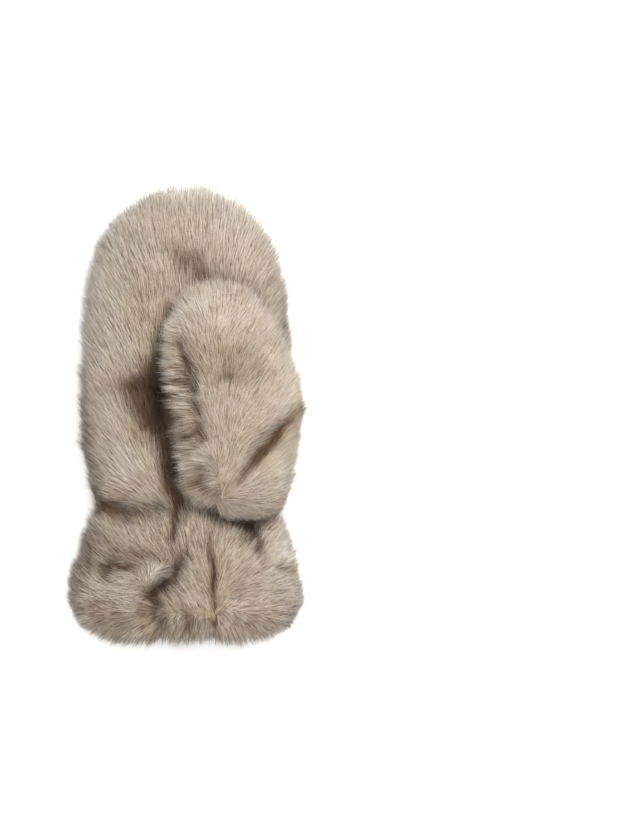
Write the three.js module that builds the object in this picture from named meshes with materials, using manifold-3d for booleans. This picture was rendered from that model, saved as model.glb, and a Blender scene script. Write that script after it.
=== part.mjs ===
// A right-hand mitten of deep faux fur, lying on its back with the thumb folded over the palm.
// Millimetres. +Y runs to the fingertips, +X to the thumb's side and +Z up from the floor.
import * as THREE from 'three';
import { mergeVertices } from 'three/addons/utils/BufferGeometryUtils.js';
import Module from 'manifold-3d';

const solids = await Module();
solids.setup();

// Driving sizes
const GAP = 0.3; // left between two sewn panels
const CELL = 7; // spacing of the grid that carries the locks of fur
const SEAM_HEIGHT = 18; // side seams of hand and cuff above the floor
const PALM_WALL = 13; // backing and standing pile of the upper panels
const BACK_WALL = 9; // backing and flattened pile of the panels underneath
const SIDE_WALL = 11;
const THUMB_WALL = 13.5;
const THUMB_SIDE_WALL = 15;
const THUMB_UNDER_WALL = 5; // the thumb's inner panel, flattened between thumb and palm
const HEM_WALL = 15; // two layers of fur at the mouth of the cuff
const BED_HEIGHT = 34; // palm pressed flat under the thumb
const LOCK_RISE = 1.9; // how far the tip of a lock stands off the panel
const LOCK_LEAN = 2.8; // how far it leans along the nap
const WRIST_Y = -58.5; // seam of the gathered wrist
const MOUTH_Y = -112; // where the turned-in hem starts
const UPPER_SQUARENESS = 2.3; // exponents of the oval sections
const LOWER_SQUARENESS = 3.4;
const THUMB_SQUARENESS = 2.4;

const FUR_COLOUR = 0xb5a594;
const HEM_COLOUR = 0xab9c8b;

// Sections of the hand from the wrist to the fingertips
const HAND = [
  { y: -58.5, left: -57, right: 58, crown: 38, sole: 0 },
  { y: -50, left: -57.5, right: 60.3, crown: 39.5, sole: -1 },
  { y: -36, left: -60, right: 61.8, crown: 40.5, sole: -2 },
  { y: -14, left: -63.4, right: 63.2, crown: 41.5, sole: -2 },
  { y: 10, left: -64.8, right: 63.6, crown: 42, sole: -2 },
  { y: 40, left: -64.2, right: 63.6, crown: 42, sole: -2 },
  { y: 64, left: -62.2, right: 61.6, crown: 42, sole: -2 },
  { y: 88, left: -58.8, right: 58, crown: 40.5, sole: -2 },
  { y: 107, left: -52.4, right: 50.6, crown: 38, sole: -1 },
  { y: 121.5, left: -41.4, right: 41, crown: 34, sole: 1.5 },
  { y: 131.5, left: -28, right: 28.5, crown: 29.5, sole: 6 },
  { y: 137.4, left: -15, right: 16, crown: 24.5, sole: 11.5 },
  { y: 139.8, left: -4, right: 5, crown: 19.5, sole: 16.5 },
];

// Sections of the flared cuff from the wrist to the hem
const CUFF = [
  { y: -58.5, left: -57, right: 58, crown: 38, sole: 0 },
  { y: -68, left: -60.6, right: 60, crown: 40.5, sole: -1.5 },
  { y: -82.5, left: -65.4, right: 64.8, crown: 43.5, sole: -2 },
  { y: -97, left: -69.6, right: 69, crown: 45, sole: -2 },
  { y: -112, left: -71.2, right: 70.4, crown: 46, sole: -2 },
];

// Sections of the thumb from its heel over the wrist to its tip
const THUMB = [
  { y: -63, left: 33, right: 37, crown: 44, sole: 42 },
  { y: -60.5, left: 20, right: 49, crown: 48.5, sole: 36 },
  { y: -54.5, left: 7, right: 57.5, crown: 53, sole: 30 },
  { y: -45, left: 0, right: 61.8, crown: 57.5, sole: 25 },
  { y: -33, left: -3, right: 64.8, crown: 61.5, sole: 22 },
  { y: -15, left: -7.5, right: 68.2, crown: 65, sole: 20 },
  { y: 3, left: -11.4, right: 70.8, crown: 65.5, sole: 24 },
  { y: 20, left: -13.2, right: 69.6, crown: 65, sole: 34.3 },
  { y: 38, left: -12.8, right: 62.8, crown: 64, sole: 34.3 },
  { y: 54, left: -10, right: 54, crown: 62, sole: 34.3 },
  { y: 66, left: -4.8, right: 46.8, crown: 58.5, sole: 35.5 },
  { y: 73.5, left: 3.5, right: 40, crown: 54, sole: 38.5 },
  { y: 77.8, left: 13, right: 33, crown: 50, sole: 42.5 },
  { y: 79, left: 21, right: 27, crown: 47.5, sole: 45.5 },
];

// Dents and folds of the palm: middle, half length, half width, turn from +X in degrees, depth
const PALM_DENTS = [
  { x: 11, y: 92, long: 14, wide: 9, turn: -40, depth: 4 },
  { x: -27, y: 20, long: 18, wide: 7, turn: 0, depth: 6 },
  { x: -33, y: 8, long: 9, wide: 5, turn: 0, depth: 3 },
  { x: -15, y: 8, long: 26, wide: 8, turn: 80, depth: 7 },
  { x: -6, y: -25, long: 26, wide: 6, turn: 105, depth: 5 },
  { x: -30, y: -54, long: 26, wide: 5, turn: -6, depth: 3 },
  { x: -56, y: -46, long: 12, wide: 5, turn: 30, depth: 3 },
];

// The same for the front of the cuff; a bump has a depth below zero
const CUFF_DENTS = [
  { x: -6, y: -68, long: 11, wide: 4.5, turn: 85, depth: 5 },
  { x: 40, y: -72, long: 14, wide: 7, turn: -56, depth: 7 },
  { x: -45, y: -93, long: 9, wide: 7, turn: 0, depth: 6 },
  { x: -34, y: -90, long: 13, wide: 5, turn: -8, depth: 4 },
  { x: -16, y: -95, long: 10, wide: 6, turn: 50, depth: -4 },
  { x: -10, y: -104, long: 13, wide: 6, turn: 50, depth: 5 },
  { x: -58, y: -92, long: 9, wide: 4, turn: 85, depth: 3 },
  { x: 59, y: -94, long: 7, wide: 4, turn: -20, depth: 2.5 },
  { x: 16.5, y: -88, long: 34, wide: 4, turn: -86, depth: 3.5 },
];

const THUMB_DENTS = [
  { x: 52, y: -16, long: 27, wide: 6.5, turn: 49, depth: 6.5 },
  { x: 24, y: 22, long: 9, wide: 6, turn: 10, depth: 3 },
  { x: 15, y: -45, long: 9, wide: 6, turn: 60, depth: 3 },
];

// Gathers of the back, which lie on the side that rests
const BACK_FOLDS = [
  { x: -18, y: -70, long: 18, wide: 7, turn: 80, depth: 5 },
  { x: 22, y: -66, long: 20, wide: 7, turn: 100, depth: 5 },
];

// Notches in the mouth's edge
const MOUTH_NOTCHES = [
  { x: -12, width: 9, depth: 3 },
  { x: 18, width: 8, depth: 3.5 },
];

// Line of the seam between the thumb's panels, seen from above
const THUMB_SEAM = [
  { y: -70, x: 26 },
  { y: -46, x: 16 },
  { y: -33, x: 12 },
  { y: -3, x: 6.6 },
  { y: 20, x: 3 },
  { y: 44, x: -3 },
  { y: 62, x: -1 },
  { y: 90, x: 0 },
];

const clamp01 = (value) => Math.min(1, Math.max(0, value));
const smooth = (value) => clamp01(value) ** 2 * (3 - 2 * clamp01(value));

// A table's columns at a place between its rows, on a curve through all of them
function between(table, place) {
  const last = table.length - 1;
  const row = Math.min(last - 1, Math.floor(place));
  const t = place - row;
  const [a, b, c, d] = [row - 1, row, row + 1, row + 2].map((i) => table[Math.min(last, Math.max(0, i))]);
  const result = {};
  for (const column of Object.keys(b)) {
    const slopeB = (c[column] - a[column]) / (row === 0 ? 1 : 2);
    const slopeC = (d[column] - b[column]) / (row === last - 1 ? 1 : 2);
    const run = c[column] - b[column];
    const square = 3 * run - 2 * slopeB - slopeC;
    const cube = slopeB + slopeC - 2 * run;
    result[column] = b[column] + t * (slopeB + t * (square + t * cube));
  }
  return result;
}

// Straight reading of a two-column table by its y
function readLine(table, y) {
  const next = table.findIndex((row) => row.y >= y);
  const upper = table[Math.max(1, next)];
  const lower = table[Math.max(1, next) - 1];
  return lower.x + ((upper.x - lower.x) * (y - lower.y)) / (upper.y - lower.y);
}

// Rows of a table divided so that no two lie further apart than a cell
function divided(table, cell) {
  const rows = [];
  for (let i = 0; i < table.length - 1; i += 1) {
    const a = table[i];
    const b = table[i + 1];
    const far = Math.hypot(b.y - a.y, b.left - a.left);
    const parts = Math.max(1, Math.round(far / cell));
    for (let k = 0; k < parts; k += 1) rows.push(between(table, i + k / parts));
  }
  rows.push(table[table.length - 1]);
  return rows;
}

// Points on part of an oval section, evenly spaced along it
function arc(row, seam, squareness, from, to, count) {
  const middle = (row.left + row.right) / 2;
  const half = (row.right - row.left) / 2;
  const fine = [];
  for (let k = 0; k <= 96; k += 1) {
    const angle = from + ((to - from) * k) / 96;
    const c = Math.cos(angle);
    const s = Math.sin(angle);
    const power = 2 / (s >= 0 ? squareness.upper : squareness.lower);
    const rise = s >= 0 ? row.crown - seam : seam - row.sole;
    const x = middle + half * Math.sign(c) * Math.abs(c) ** power;
    const z = seam + rise * Math.sign(s) * Math.abs(s) ** power;
    fine.push(new THREE.Vector3(x, row.y, z));
  }
  const lengths = [0];
  for (let k = 1; k < fine.length; k += 1) lengths.push(lengths[k - 1] + fine[k].distanceTo(fine[k - 1]));
  const points = [];
  for (let k = 0; k <= count; k += 1) {
    const want = (lengths[lengths.length - 1] * k) / count;
    const at = Math.max(1, lengths.findIndex((length) => length >= want - 1e-9));
    const share = (want - lengths[at - 1]) / Math.max(1e-9, lengths[at] - lengths[at - 1]);
    points.push(fine[at - 1].clone().lerp(fine[at], share));
  }
  return points;
}

function dentDepth(dents, x, y) {
  let depth = 0;
  for (const dent of dents) {
    const turn = THREE.MathUtils.degToRad(dent.turn);
    const u = (x - dent.x) * Math.cos(turn) + (y - dent.y) * Math.sin(turn);
    const v = (y - dent.y) * Math.cos(turn) - (x - dent.x) * Math.sin(turn);
    depth += dent.depth * Math.exp(-((u / dent.long) ** 2) - (v / dent.wide) ** 2);
  }
  return depth;
}

// Small ripples where the elastic draws the wrist in
function gather(x, y) {
  const away = (y - WRIST_Y) / 11;
  return 2 * Math.cos(x / 3.1) * Math.exp(-away * away);
}

// How far a place on the palm lies under the thumb, from 0 to 1
function thumbCover(x, y) {
  return smooth((1.27 - Math.hypot((x - 28.5) / 43, (y - 8.5) / 72)) / 0.3);
}

function shapePalm(point) {
  const rise = clamp01((point.z - SEAM_HEIGHT) / 12);
  point.z -= rise * (dentDepth(PALM_DENTS, point.x, point.y) + gather(point.x, point.y));
  point.z -= thumbCover(point.x, point.y) * Math.max(0, point.z - BED_HEIGHT);
}

function shapeCuffFront(point) {
  const rise = clamp01((point.z - SEAM_HEIGHT) / 12);
  point.z -= rise * (dentDepth(CUFF_DENTS, point.x, point.y) + gather(point.x, point.y));
}

function shapeUnderside(point) {
  const fall = clamp01((SEAM_HEIGHT - point.z) / 8);
  point.z += fall * (dentDepth(BACK_FOLDS, point.x, point.y) + gather(point.x, point.y));
  point.z = Math.max(0, point.z);
}

function shapeThumb(point) {
  const rise = clamp01((point.z - 46) / 10);
  const aside = (point.x - readLine(THUMB_SEAM, point.y)) / 5;
  const groove = 4 * Math.exp(-aside * aside) * smooth((56 - point.y) / 14);
  point.z -= rise * (dentDepth(THUMB_DENTS, point.x, point.y) + groove);
}

// Every second point of the grid becomes the tip of a lock that stands off and leans along the nap
function addLocks(sections, nap, height, closedRound) {
  const flat = sections.map((section) => section.map((point) => point.clone()));
  const last = flat[0].length - 1;
  for (let i = 1; i < flat.length - 1; i += 1) {
    for (let j = closedRound ? 0 : 1; j <= (closedRound ? last : last - 1); j += 1) {
      if ((i + j) % 2 === 0) continue;
      const before = flat[i][(j + last) % (last + 1)];
      const after = flat[i][(j + 1) % (last + 1)];
      const along = flat[i + 1][j].clone().sub(flat[i - 1][j]).normalize();
      const around = after.clone().sub(before).normalize();
      const normal = around.cross(along).normalize();
      const share = height(flat[i][j]) * smooth((flat[i][0].distanceTo(flat[i][last >> 1]) - 8) / 30);
      const lean = nap(flat[i][j]).multiplyScalar(LOCK_LEAN * share);
      lean.addScaledVector(normal, -lean.dot(normal));
      sections[i][j].addScaledVector(normal, -LOCK_RISE * share).add(lean);
    }
  }
}

// A closed body through section loops of equal count, capped at both ends or joined in a ring
function loft(sections, ring = false) {
  const count = sections[0].length;
  const positions = [];
  const index = [];
  for (const section of sections) for (const point of section) positions.push(point.x, point.y, point.z);
  const bands = ring ? sections.length : sections.length - 1;
  for (let i = 0; i < bands; i += 1) {
    const next = (i + 1) % sections.length;
    for (let j = 0; j < count; j += 1) {
      const a = i * count + j;
      const b = i * count + ((j + 1) % count);
      const c = next * count + ((j + 1) % count);
      const d = next * count + j;
      if ((i + j) % 2) index.push(a, b, c, a, c, d);
      else index.push(a, b, d, b, c, d);
    }
  }
  if (!ring) {
    for (const [section, first] of [[sections[0], 0], [sections.at(-1), (sections.length - 1) * count]]) {
      const middle = new THREE.Vector3();
      for (const point of section) middle.addScaledVector(point, 1 / count);
      const centre = positions.length / 3;
      positions.push(middle.x, middle.y, middle.z);
      for (let j = 0; j < count; j += 1) {
        const a = first + j;
        const b = first + ((j + 1) % count);
        if (first === 0) index.push(b, a, centre);
        else index.push(a, b, centre);
      }
    }
  }
  const geometry = new THREE.BufferGeometry();
  geometry.setAttribute('position', new THREE.Float32BufferAttribute(positions, 3));
  geometry.setIndex(index);
  return outward(mergeVertices(geometry, 1e-4));
}

// Faces turned out, whichever way the sections ran
function outward(geometry) {
  const p = geometry.attributes.position;
  const index = geometry.index.array;
  let volume = 0;
  const [a, b, c] = [new THREE.Vector3(), new THREE.Vector3(), new THREE.Vector3()];
  for (let i = 0; i < index.length; i += 3) {
    a.fromBufferAttribute(p, index[i]);
    b.fromBufferAttribute(p, index[i + 1]);
    c.fromBufferAttribute(p, index[i + 2]);
    volume += a.dot(b.cross(c));
  }
  if (volume < 0) index.reverse();
  return geometry;
}

function toSolid(geometry) {
  const vertProperties = new Float32Array(geometry.attributes.position.array);
  const triVerts = new Uint32Array(geometry.index.array);
  return new solids.Manifold(new solids.Mesh({ numProp: 3, vertProperties, triVerts }));
}

function toGeometry(solid) {
  const mesh = solid.getMesh();
  const geometry = new THREE.BufferGeometry();
  geometry.setAttribute('position', new THREE.BufferAttribute(new Float32Array(mesh.vertProperties), 3));
  geometry.setIndex(new THREE.BufferAttribute(new Uint32Array(mesh.triVerts), 1));
  return geometry;
}

// A straight-sided block through the same outline at several places along y
function block(rows) {
  return toSolid(loft(rows.map((row) => row.outline.map(([x, z]) => new THREE.Vector3(x, row.y, z)))));
}

// The same rows drawn in by the thickness of the wall and run on past their open ends
function inset(rows, walls) {
  return rows.map((row) => ({
    y: row.y,
    left: row.left + walls.side,
    right: row.right - walls.side,
    crown: row.crown - walls.top,
    sole: row.sole + walls.under,
  }));
}

const ROUND = { upper: UPPER_SQUARENESS, lower: LOWER_SQUARENESS };

// Half of the hand or cuff as a full body, above the side seams for the palm and below for the back
function halfForm(rows, upper, count, shape) {
  const seam = SEAM_HEIGHT + (upper ? GAP / 2 : -GAP / 2);
  const sections = rows.map((row) => arc(row, seam, ROUND, 0, upper ? Math.PI : -Math.PI, count));
  for (const section of sections) section.slice(1, -1).forEach(shape);
  return sections;
}

// The hollow of a half, sunk past the seam so that it cuts clean
function halfHollow(rows, upper, count) {
  const sections = rows.map((row) => arc(row, SEAM_HEIGHT, ROUND, 0, upper ? Math.PI : -Math.PI, count));
  const sink = upper ? -2 : 2;
  return sections.map((section) => {
    const first = section[0].clone();
    const last = section.at(-1).clone();
    first.z += sink;
    last.z += sink;
    return [first, ...section, last];
  });
}

// What the fur and its backing take off the sections; the lowest sections dip under the floor before they
// are pressed flat, which the two millimetres make up for
const WALLS = { side: SIDE_WALL, top: PALM_WALL, under: BACK_WALL + 2 };

// Nap directions
const napHand = (point) => new THREE.Vector3(point.x / 200, 1, 0).normalize();
const napThumb = (point) => new THREE.Vector3((point.x - 20) / 110, 1, 0).normalize();
const napCuff = (point) => new THREE.Vector3((point.x - 18) / 110, (point.y + 124) / 50, 0).normalize();
const napHem = (point) => new THREE.Vector3(point.x / 160, -1, 0).normalize();
const standing = (point) => smooth((point.z - 2) / 8);

function handHollowRows() {
  const shortened = HAND.filter((row) => row.y < 125);
  const rows = inset(divided(shortened, 2 * CELL), WALLS);
  const first = rows[0];
  const tip = { y: 127, left: -18, right: 18, crown: SEAM_HEIGHT + 2, sole: SEAM_HEIGHT - 2 };
  return [{ ...first, y: first.y - 8 }, ...rows, tip];
}

function buildPalm() {
  const rows = divided(HAND, CELL);
  rows[0] = { ...rows[0], y: WRIST_Y + GAP / 2 };
  const sections = halfForm(rows, true, 22, shapePalm);
  addLocks(sections, napHand, (point) => standing(point) * (1 - thumbCover(point.x, point.y)), false);
  return toSolid(loft(sections));
}

function buildBack() {
  const rows = divided(HAND, CELL);
  rows[0] = { ...rows[0], y: WRIST_Y + GAP / 2 };
  const sections = halfForm(rows, false, 20, shapeUnderside);
  addLocks(sections, napHand, standing, false);
  return toSolid(loft(sections));
}

function buildHandHollow(upper) {
  return toSolid(loft(halfHollow(handHollowRows(), upper, 12)));
}

function cuffHollowRows() {
  const rows = inset(divided(CUFF, 2 * CELL), WALLS);
  return [{ ...rows[0], y: rows[0].y + 8 }, ...rows, { ...rows.at(-1), y: MOUTH_Y - 8 }];
}

function cuffRows() {
  const rows = divided(CUFF, CELL);
  rows[0] = { ...rows[0], y: WRIST_Y - GAP / 2 };
  rows[rows.length - 1] = { ...rows.at(-1), y: MOUTH_Y + GAP / 2 };
  return rows;
}

function buildCuffForm(upper) {
  const sections = halfForm(cuffRows(), upper, upper ? 24 : 18, upper ? shapeCuffFront : shapeUnderside);
  addLocks(sections, napCuff, standing, false);
  return toSolid(loft(sections));
}

function buildCuffHollow(upper) {
  return toSolid(loft(halfHollow(cuffHollowRows(), upper, 14)));
}

// The depth of the hem below its upper edge, less at the corners and in the notches
function hemDepth(x) {
  const corner = Math.sqrt(1 - Math.min(0.98, Math.abs(x / 71) ** 4));
  let depth = 28 * corner;
  for (const notch of MOUTH_NOTCHES) depth -= notch.depth * Math.exp(-(((x - notch.x) / notch.width) ** 2));
  return depth;
}

// Outline of the roll: share of the way from its outer to its inner skin, puff outward, share of its depth
const HEM_PROFILE = [
  { across: 0, puff: 0, drop: 0 },
  { across: 0, puff: 0.6, drop: 0.3 },
  { across: 0.1, puff: 0, drop: 0.62 },
  { across: 0.26, puff: 0, drop: 0.87 },
  { across: 0.5, puff: 0, drop: 1 },
  { across: 0.76, puff: 0, drop: 0.86 },
  { across: 0.95, puff: 0, drop: 0.58 },
  { across: 1, puff: 0, drop: 0.28 },
  { across: 1, puff: 0, drop: 0 },
];

function buildHem() {
  const row = { ...CUFF.at(-1), y: MOUTH_Y - GAP / 2 };
  const inner = inset([row], { side: HEM_WALL, top: HEM_WALL, under: HEM_WALL })[0];
  const count = 52;
  const outerLoop = arc(row, SEAM_HEIGHT, ROUND, 0, 2 * Math.PI, count).slice(0, -1);
  const innerLoop = arc(inner, SEAM_HEIGHT, ROUND, 0, 2 * Math.PI, count).slice(0, -1);
  const sections = outerLoop.map((outer, k) => {
    const from = outer.clone();
    if (from.z > SEAM_HEIGHT) shapeCuffFront(from);
    else shapeUnderside(from);
    return HEM_PROFILE.map((step) => {
      const point = from.clone().lerp(innerLoop[k], step.across);
      const out = outer.clone().sub(innerLoop[k]).normalize();
      point.addScaledVector(out, step.puff);
      point.y = row.y - hemDepth(point.x) * step.drop;
      point.z = Math.max(0, point.z);
      return point;
    });
  });
  const turned = HEM_PROFILE.map((_, k) => sections.map((section) => section[k]));
  addLocks(turned, napHem, standing, true);
  const joined = sections.map((_, j) => turned.map((loop) => loop[j]));
  return toSolid(loft(joined, true));
}

// The thumb as a closed bag, before it is cut along its seam and where it meets the palm
function buildThumbBag() {
  const middle = 47;
  const round = { upper: THUMB_SQUARENESS, lower: THUMB_SQUARENESS };
  const seamOf = (row) => Math.min(middle, (row.crown + row.sole) / 2 + 2);
  const ring = (row, seam, count) => arc(row, seam, round, 0, 2 * Math.PI, count).slice(0, -1);
  const sections = divided(THUMB, CELL).map((row) => ring(row, seamOf(row), 28));
  for (const section of sections) section.forEach(shapeThumb);
  addLocks(sections, napThumb, (point) => smooth((point.z - 42) / 10), true);
  const walls = { side: THUMB_SIDE_WALL, top: THUMB_WALL, under: THUMB_UNDER_WALL };
  const kept = inset(THUMB.filter((row) => row.y > -52 && row.y < 68), walls);
  const hollow = divided(kept, 2 * CELL).map((row) => {
    const sole = Math.min(row.sole, row.crown - 6);
    return ring({ ...row, sole }, (row.crown + sole) / 2, 16);
  });
  return toSolid(loft(sections)).subtract(toSolid(loft(hollow)));
}

// Everything on the inner panel's side of the thumb's seam, as a block that is offset by half the gap
function innerSide(offset) {
  const places = [-70, -46, -33, -10, 2, 6, 20, 44, 62, 90];
  return block(
    places.map((y) => {
      const seamX = readLine(THUMB_SEAM, y) + offset;
      const low = y < 4 ? 0 : 46 + offset;
      const across = y < 4 ? 9 : 44;
      const outline = [
        [-60, 0],
        [-60, 90],
        [seamX, 90],
        [seamX + 1, 52 + offset],
        [seamX + across, low],
        [y < 4 ? seamX + across : 90, low],
        [y < 4 ? seamX + across : 90, -1],
      ];
      return { y: y - offset, outline };
    }),
  );
}

// The oval opening in the palm that the thumb goes in by
function thumbOpening() {
  const oval = new THREE.EllipseCurve(30, -22, 21, 25).getPoints(24).slice(0, -1);
  const sections = [10, 60].map((z) => oval.map((point) => new THREE.Vector3(point.x, point.y, z)));
  return toSolid(loft(sections));
}

// A half-space to one side of the cuff's front seam
function besideCuffSeam(side) {
  const seam = [{ y: -40, x: 12.5 }, { y: -130, x: 18.5 }];
  return block(
    seam.map((place) => {
      const near = place.x + (side * GAP) / 2;
      const far = side * 120;
      return { y: place.y, outline: [[near, -20], [near, 90], [far, 90], [far, -20]] };
    }),
  );
}

// What the thumb must stay clear of: the palm and the cuff, larger by the gap
function grown(solid) {
  const { min, max } = solid.boundingBox();
  const middle = [(min[0] + max[0]) / 2, (min[1] + max[1]) / 2];
  const growth = [0, 1].map((k) => 1 + (2 * GAP) / (max[k] - min[k]));
  const centred = solid.translate([-middle[0], -middle[1], GAP]);
  return centred.scale([growth[0], growth[1], 1]).translate([middle[0], middle[1], 0]);
}

// The main body of a cut piece, without the tips of locks that lie across the cut
function mainBody(solid) {
  return solid.decompose().sort((a, b) => b.volume() - a.volume())[0];
}

const palmForm = buildPalm();
const cuffFrontForm = buildCuffForm(true);
const thumbBag = buildThumbBag().subtract(grown(palmForm)).subtract(grown(cuffFrontForm));
const cuffFront = cuffFrontForm.subtract(buildCuffHollow(true));

const panels = {
  hand_back: buildBack().subtract(buildHandHollow(false)),
  hand_palm: palmForm.subtract(buildHandHollow(true)).subtract(thumbOpening()),
  thumb_outer: mainBody(thumbBag.subtract(innerSide(GAP / 2))),
  thumb_inner: mainBody(thumbBag.intersect(innerSide(-GAP / 2))),
  cuff_back: buildCuffForm(false).subtract(buildCuffHollow(false)),
  cuff_palm_left: cuffFront.intersect(besideCuffSeam(-1)),
  cuff_palm_right: cuffFront.intersect(besideCuffSeam(1)),
  cuff_hem: buildHem(),
};

const furMaterial = new THREE.MeshStandardMaterial({ color: FUR_COLOUR, roughness: 0.95, metalness: 0 });
const hemMaterial = new THREE.MeshStandardMaterial({ color: HEM_COLOUR, roughness: 0.95, metalness: 0 });

const mitten = new THREE.Group();
for (const [name, solid] of Object.entries(panels)) {
  const mesh = new THREE.Mesh(toGeometry(solid), name === 'cuff_hem' ? hemMaterial : furMaterial);
  mesh.name = name;
  mitten.add(mesh);
}

export default mitten;
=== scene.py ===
"""A right-hand mitten of deep faux fur, lying on its back with the thumb folded over the palm."""

import math

import bpy
import numpy as np
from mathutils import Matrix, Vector


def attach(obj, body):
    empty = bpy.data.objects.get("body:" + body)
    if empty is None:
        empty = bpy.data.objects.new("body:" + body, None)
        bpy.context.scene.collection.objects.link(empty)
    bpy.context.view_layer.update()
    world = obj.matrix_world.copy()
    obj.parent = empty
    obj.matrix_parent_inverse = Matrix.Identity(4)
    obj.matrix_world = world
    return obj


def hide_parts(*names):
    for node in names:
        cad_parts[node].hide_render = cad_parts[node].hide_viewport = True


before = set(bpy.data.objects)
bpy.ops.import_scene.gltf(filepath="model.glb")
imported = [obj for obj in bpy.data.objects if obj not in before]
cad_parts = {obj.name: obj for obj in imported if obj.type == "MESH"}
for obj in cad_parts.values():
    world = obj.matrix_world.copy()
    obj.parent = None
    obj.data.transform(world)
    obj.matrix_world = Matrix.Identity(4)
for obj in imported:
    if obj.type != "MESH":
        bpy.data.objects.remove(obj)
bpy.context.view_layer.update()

# Camera
# It looks straight down on the palm from far off, and the mitten lies left of the middle of the frame.
MM = 0.001
PIXEL = 0.6 * MM
FRAME_PIXELS = (630, 840)
FRAME_MIDDLE = (0.078, -0.0033)
CAMERA_HEIGHT = 1.85
PALM_LEVEL = 0.04
SENSOR = 36.0

camera_data = bpy.data.cameras.new("camera")
camera_data.sensor_fit = "VERTICAL"
camera_data.sensor_height = SENSOR
camera_data.lens = SENSOR * (CAMERA_HEIGHT - PALM_LEVEL) / (FRAME_PIXELS[1] * PIXEL)
camera = bpy.data.objects.new("camera", camera_data)
camera.location = (FRAME_MIDDLE[0], FRAME_MIDDLE[1], CAMERA_HEIGHT)
bpy.context.scene.collection.objects.link(camera)
bpy.context.scene.camera = camera

# Hand
# Back and palm are cut from deep faux fur, a knitted backing with a thick modacrylic pile, to one rounded
# outline. They are sewn together all round and drawn in at the wrist by an elastic inside the seam.
SEAM_HEIGHT = 18.0
UPPER_SQUARENESS = 2.3
LOWER_SQUARENESS = 3.4
WRIST_Y = -58.5
# Hand and cuff keep this far from the line of the wrist
WRIST_GAP = 0.5
GATHER_DEPTH = 2.0
GATHER_WAVE = 3.1
GATHER_REACH = 11.0
FOLD_FADE = 8.0
FLOOR_CLEARANCE = 0.4
BACKING = 1.5
FINE_CELL = 2.2
ARC_SAMPLES = 257
# How far the hairs stand up from the nap, and the share by which their turn over an edge comes late
STAND = 0.66
LATE_TURN = 0.9
LEAST_TURN = 0.5
# How far back from its tips a coat of hairs is seen the most
SEEN_BACK = 1.5
# The weight of the plain nap between the places of a comb table
PLAIN_NAP = 0.02
HAND_AROUND = 160

# Columns: y, left edge, right edge, crown, sole
HAND = (
    (-58.5, -57.0, 58.0, 38.0, 0.0),
    (-50.0, -57.5, 60.3, 39.5, -1.0),
    (-36.0, -60.0, 61.8, 40.5, -2.0),
    (-14.0, -63.4, 63.2, 41.5, -2.0),
    (10.0, -64.8, 63.6, 42.0, -2.0),
    (40.0, -64.2, 63.6, 42.0, -2.0),
    (64.0, -62.2, 61.6, 42.0, -2.0),
    (88.0, -58.8, 58.0, 40.5, -2.0),
    (107.0, -52.4, 50.6, 38.0, -1.0),
    (121.5, -41.4, 41.0, 34.0, 1.5),
    (131.5, -28.0, 28.5, 29.5, 6.0),
    (137.4, -15.0, 16.0, 24.5, 11.5),
    (139.8, -4.0, 5.0, 19.5, 16.5),
)
# Columns: x, y, half length, half width, turn from +X in degrees, depth
BACK_FOLDS = (
    (-18.0, -70.0, 18.0, 7.0, 80.0, 5.0),
    (22.0, -66.0, 20.0, 7.0, 100.0, 5.0),
)


def between(table, place):
    """A table's columns at a place between its rows, on a curve through all of them."""
    last = len(table) - 1
    row = min(last - 1, int(place))
    t = place - row
    a, b, c, d = (np.array(table[min(last, max(0, i))]) for i in range(row - 1, row + 3))
    start = (c - a) / (1 if row == 0 else 2)
    end = (d - b) / (1 if row == last - 1 else 2)
    run = c - b
    return b + t * (start + t * (3 * run - 2 * start - end + t * (start + end - 2 * run)))


def divided(table, cell):
    """The rows of a section table, and as many between them as keep neighbours within a cell."""
    rows = []
    for i in range(len(table) - 1):
        far = math.hypot(table[i + 1][0] - table[i][0], table[i + 1][1] - table[i][1])
        parts = max(1, round(far / cell))
        rows += [between(table, i + k / parts) for k in range(parts)]
    return rows + [np.array(table[-1])]


def arc(row, seam, squareness, start, stop, count):
    """Points evenly spaced on part of an oval section, from one angle to another."""
    y, left, right, crown, sole = row
    angle = np.linspace(start, stop, ARC_SAMPLES)
    c, s = np.cos(angle), np.sin(angle)
    power = 2 / np.where(s >= 0, squareness[0], squareness[1])
    rise = np.where(s >= 0, crown - seam, seam - sole)
    x = (left + right) / 2 + (right - left) / 2 * np.sign(c) * np.abs(c) ** power
    z = seam + rise * np.sign(s) * np.abs(s) ** power
    run = np.concatenate(([0], np.cumsum(np.hypot(np.diff(x), np.diff(z)))))
    want = np.linspace(0, run[-1], count + 1)
    return np.stack((np.interp(want, run, x), np.full(count + 1, y), np.interp(want, run, z)), axis=1)


def smooth(value):
    """0 below 0, 1 above 1, and an even turn between."""
    value = np.clip(value, 0, 1)
    return value * value * (3 - 2 * value)


def fade(value, span):
    """How far a value has come from the first to the second number of a span, with an even turn."""
    return smooth((value - span[0]) / (span[1] - span[0]))


def spread(spots, x, y):
    """The sum at each place of a table's oval spots, each fading out from its middle."""
    amount = np.zeros_like(x)
    for spot_x, spot_y, long, wide, turn, most in spots:
        turn = math.radians(turn)
        u = (x - spot_x) * math.cos(turn) + (y - spot_y) * math.sin(turn)
        v = (y - spot_y) * math.cos(turn) - (x - spot_x) * math.sin(turn)
        amount += most * np.exp(-((u / long) ** 2) - (v / wide) ** 2)
    return amount


def gather(x, y):
    """Small ripples where the elastic draws the wrist in."""
    return GATHER_DEPTH * np.cos(x / GATHER_WAVE) * np.exp(-(((y - WRIST_Y) / GATHER_REACH) ** 2))


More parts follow.
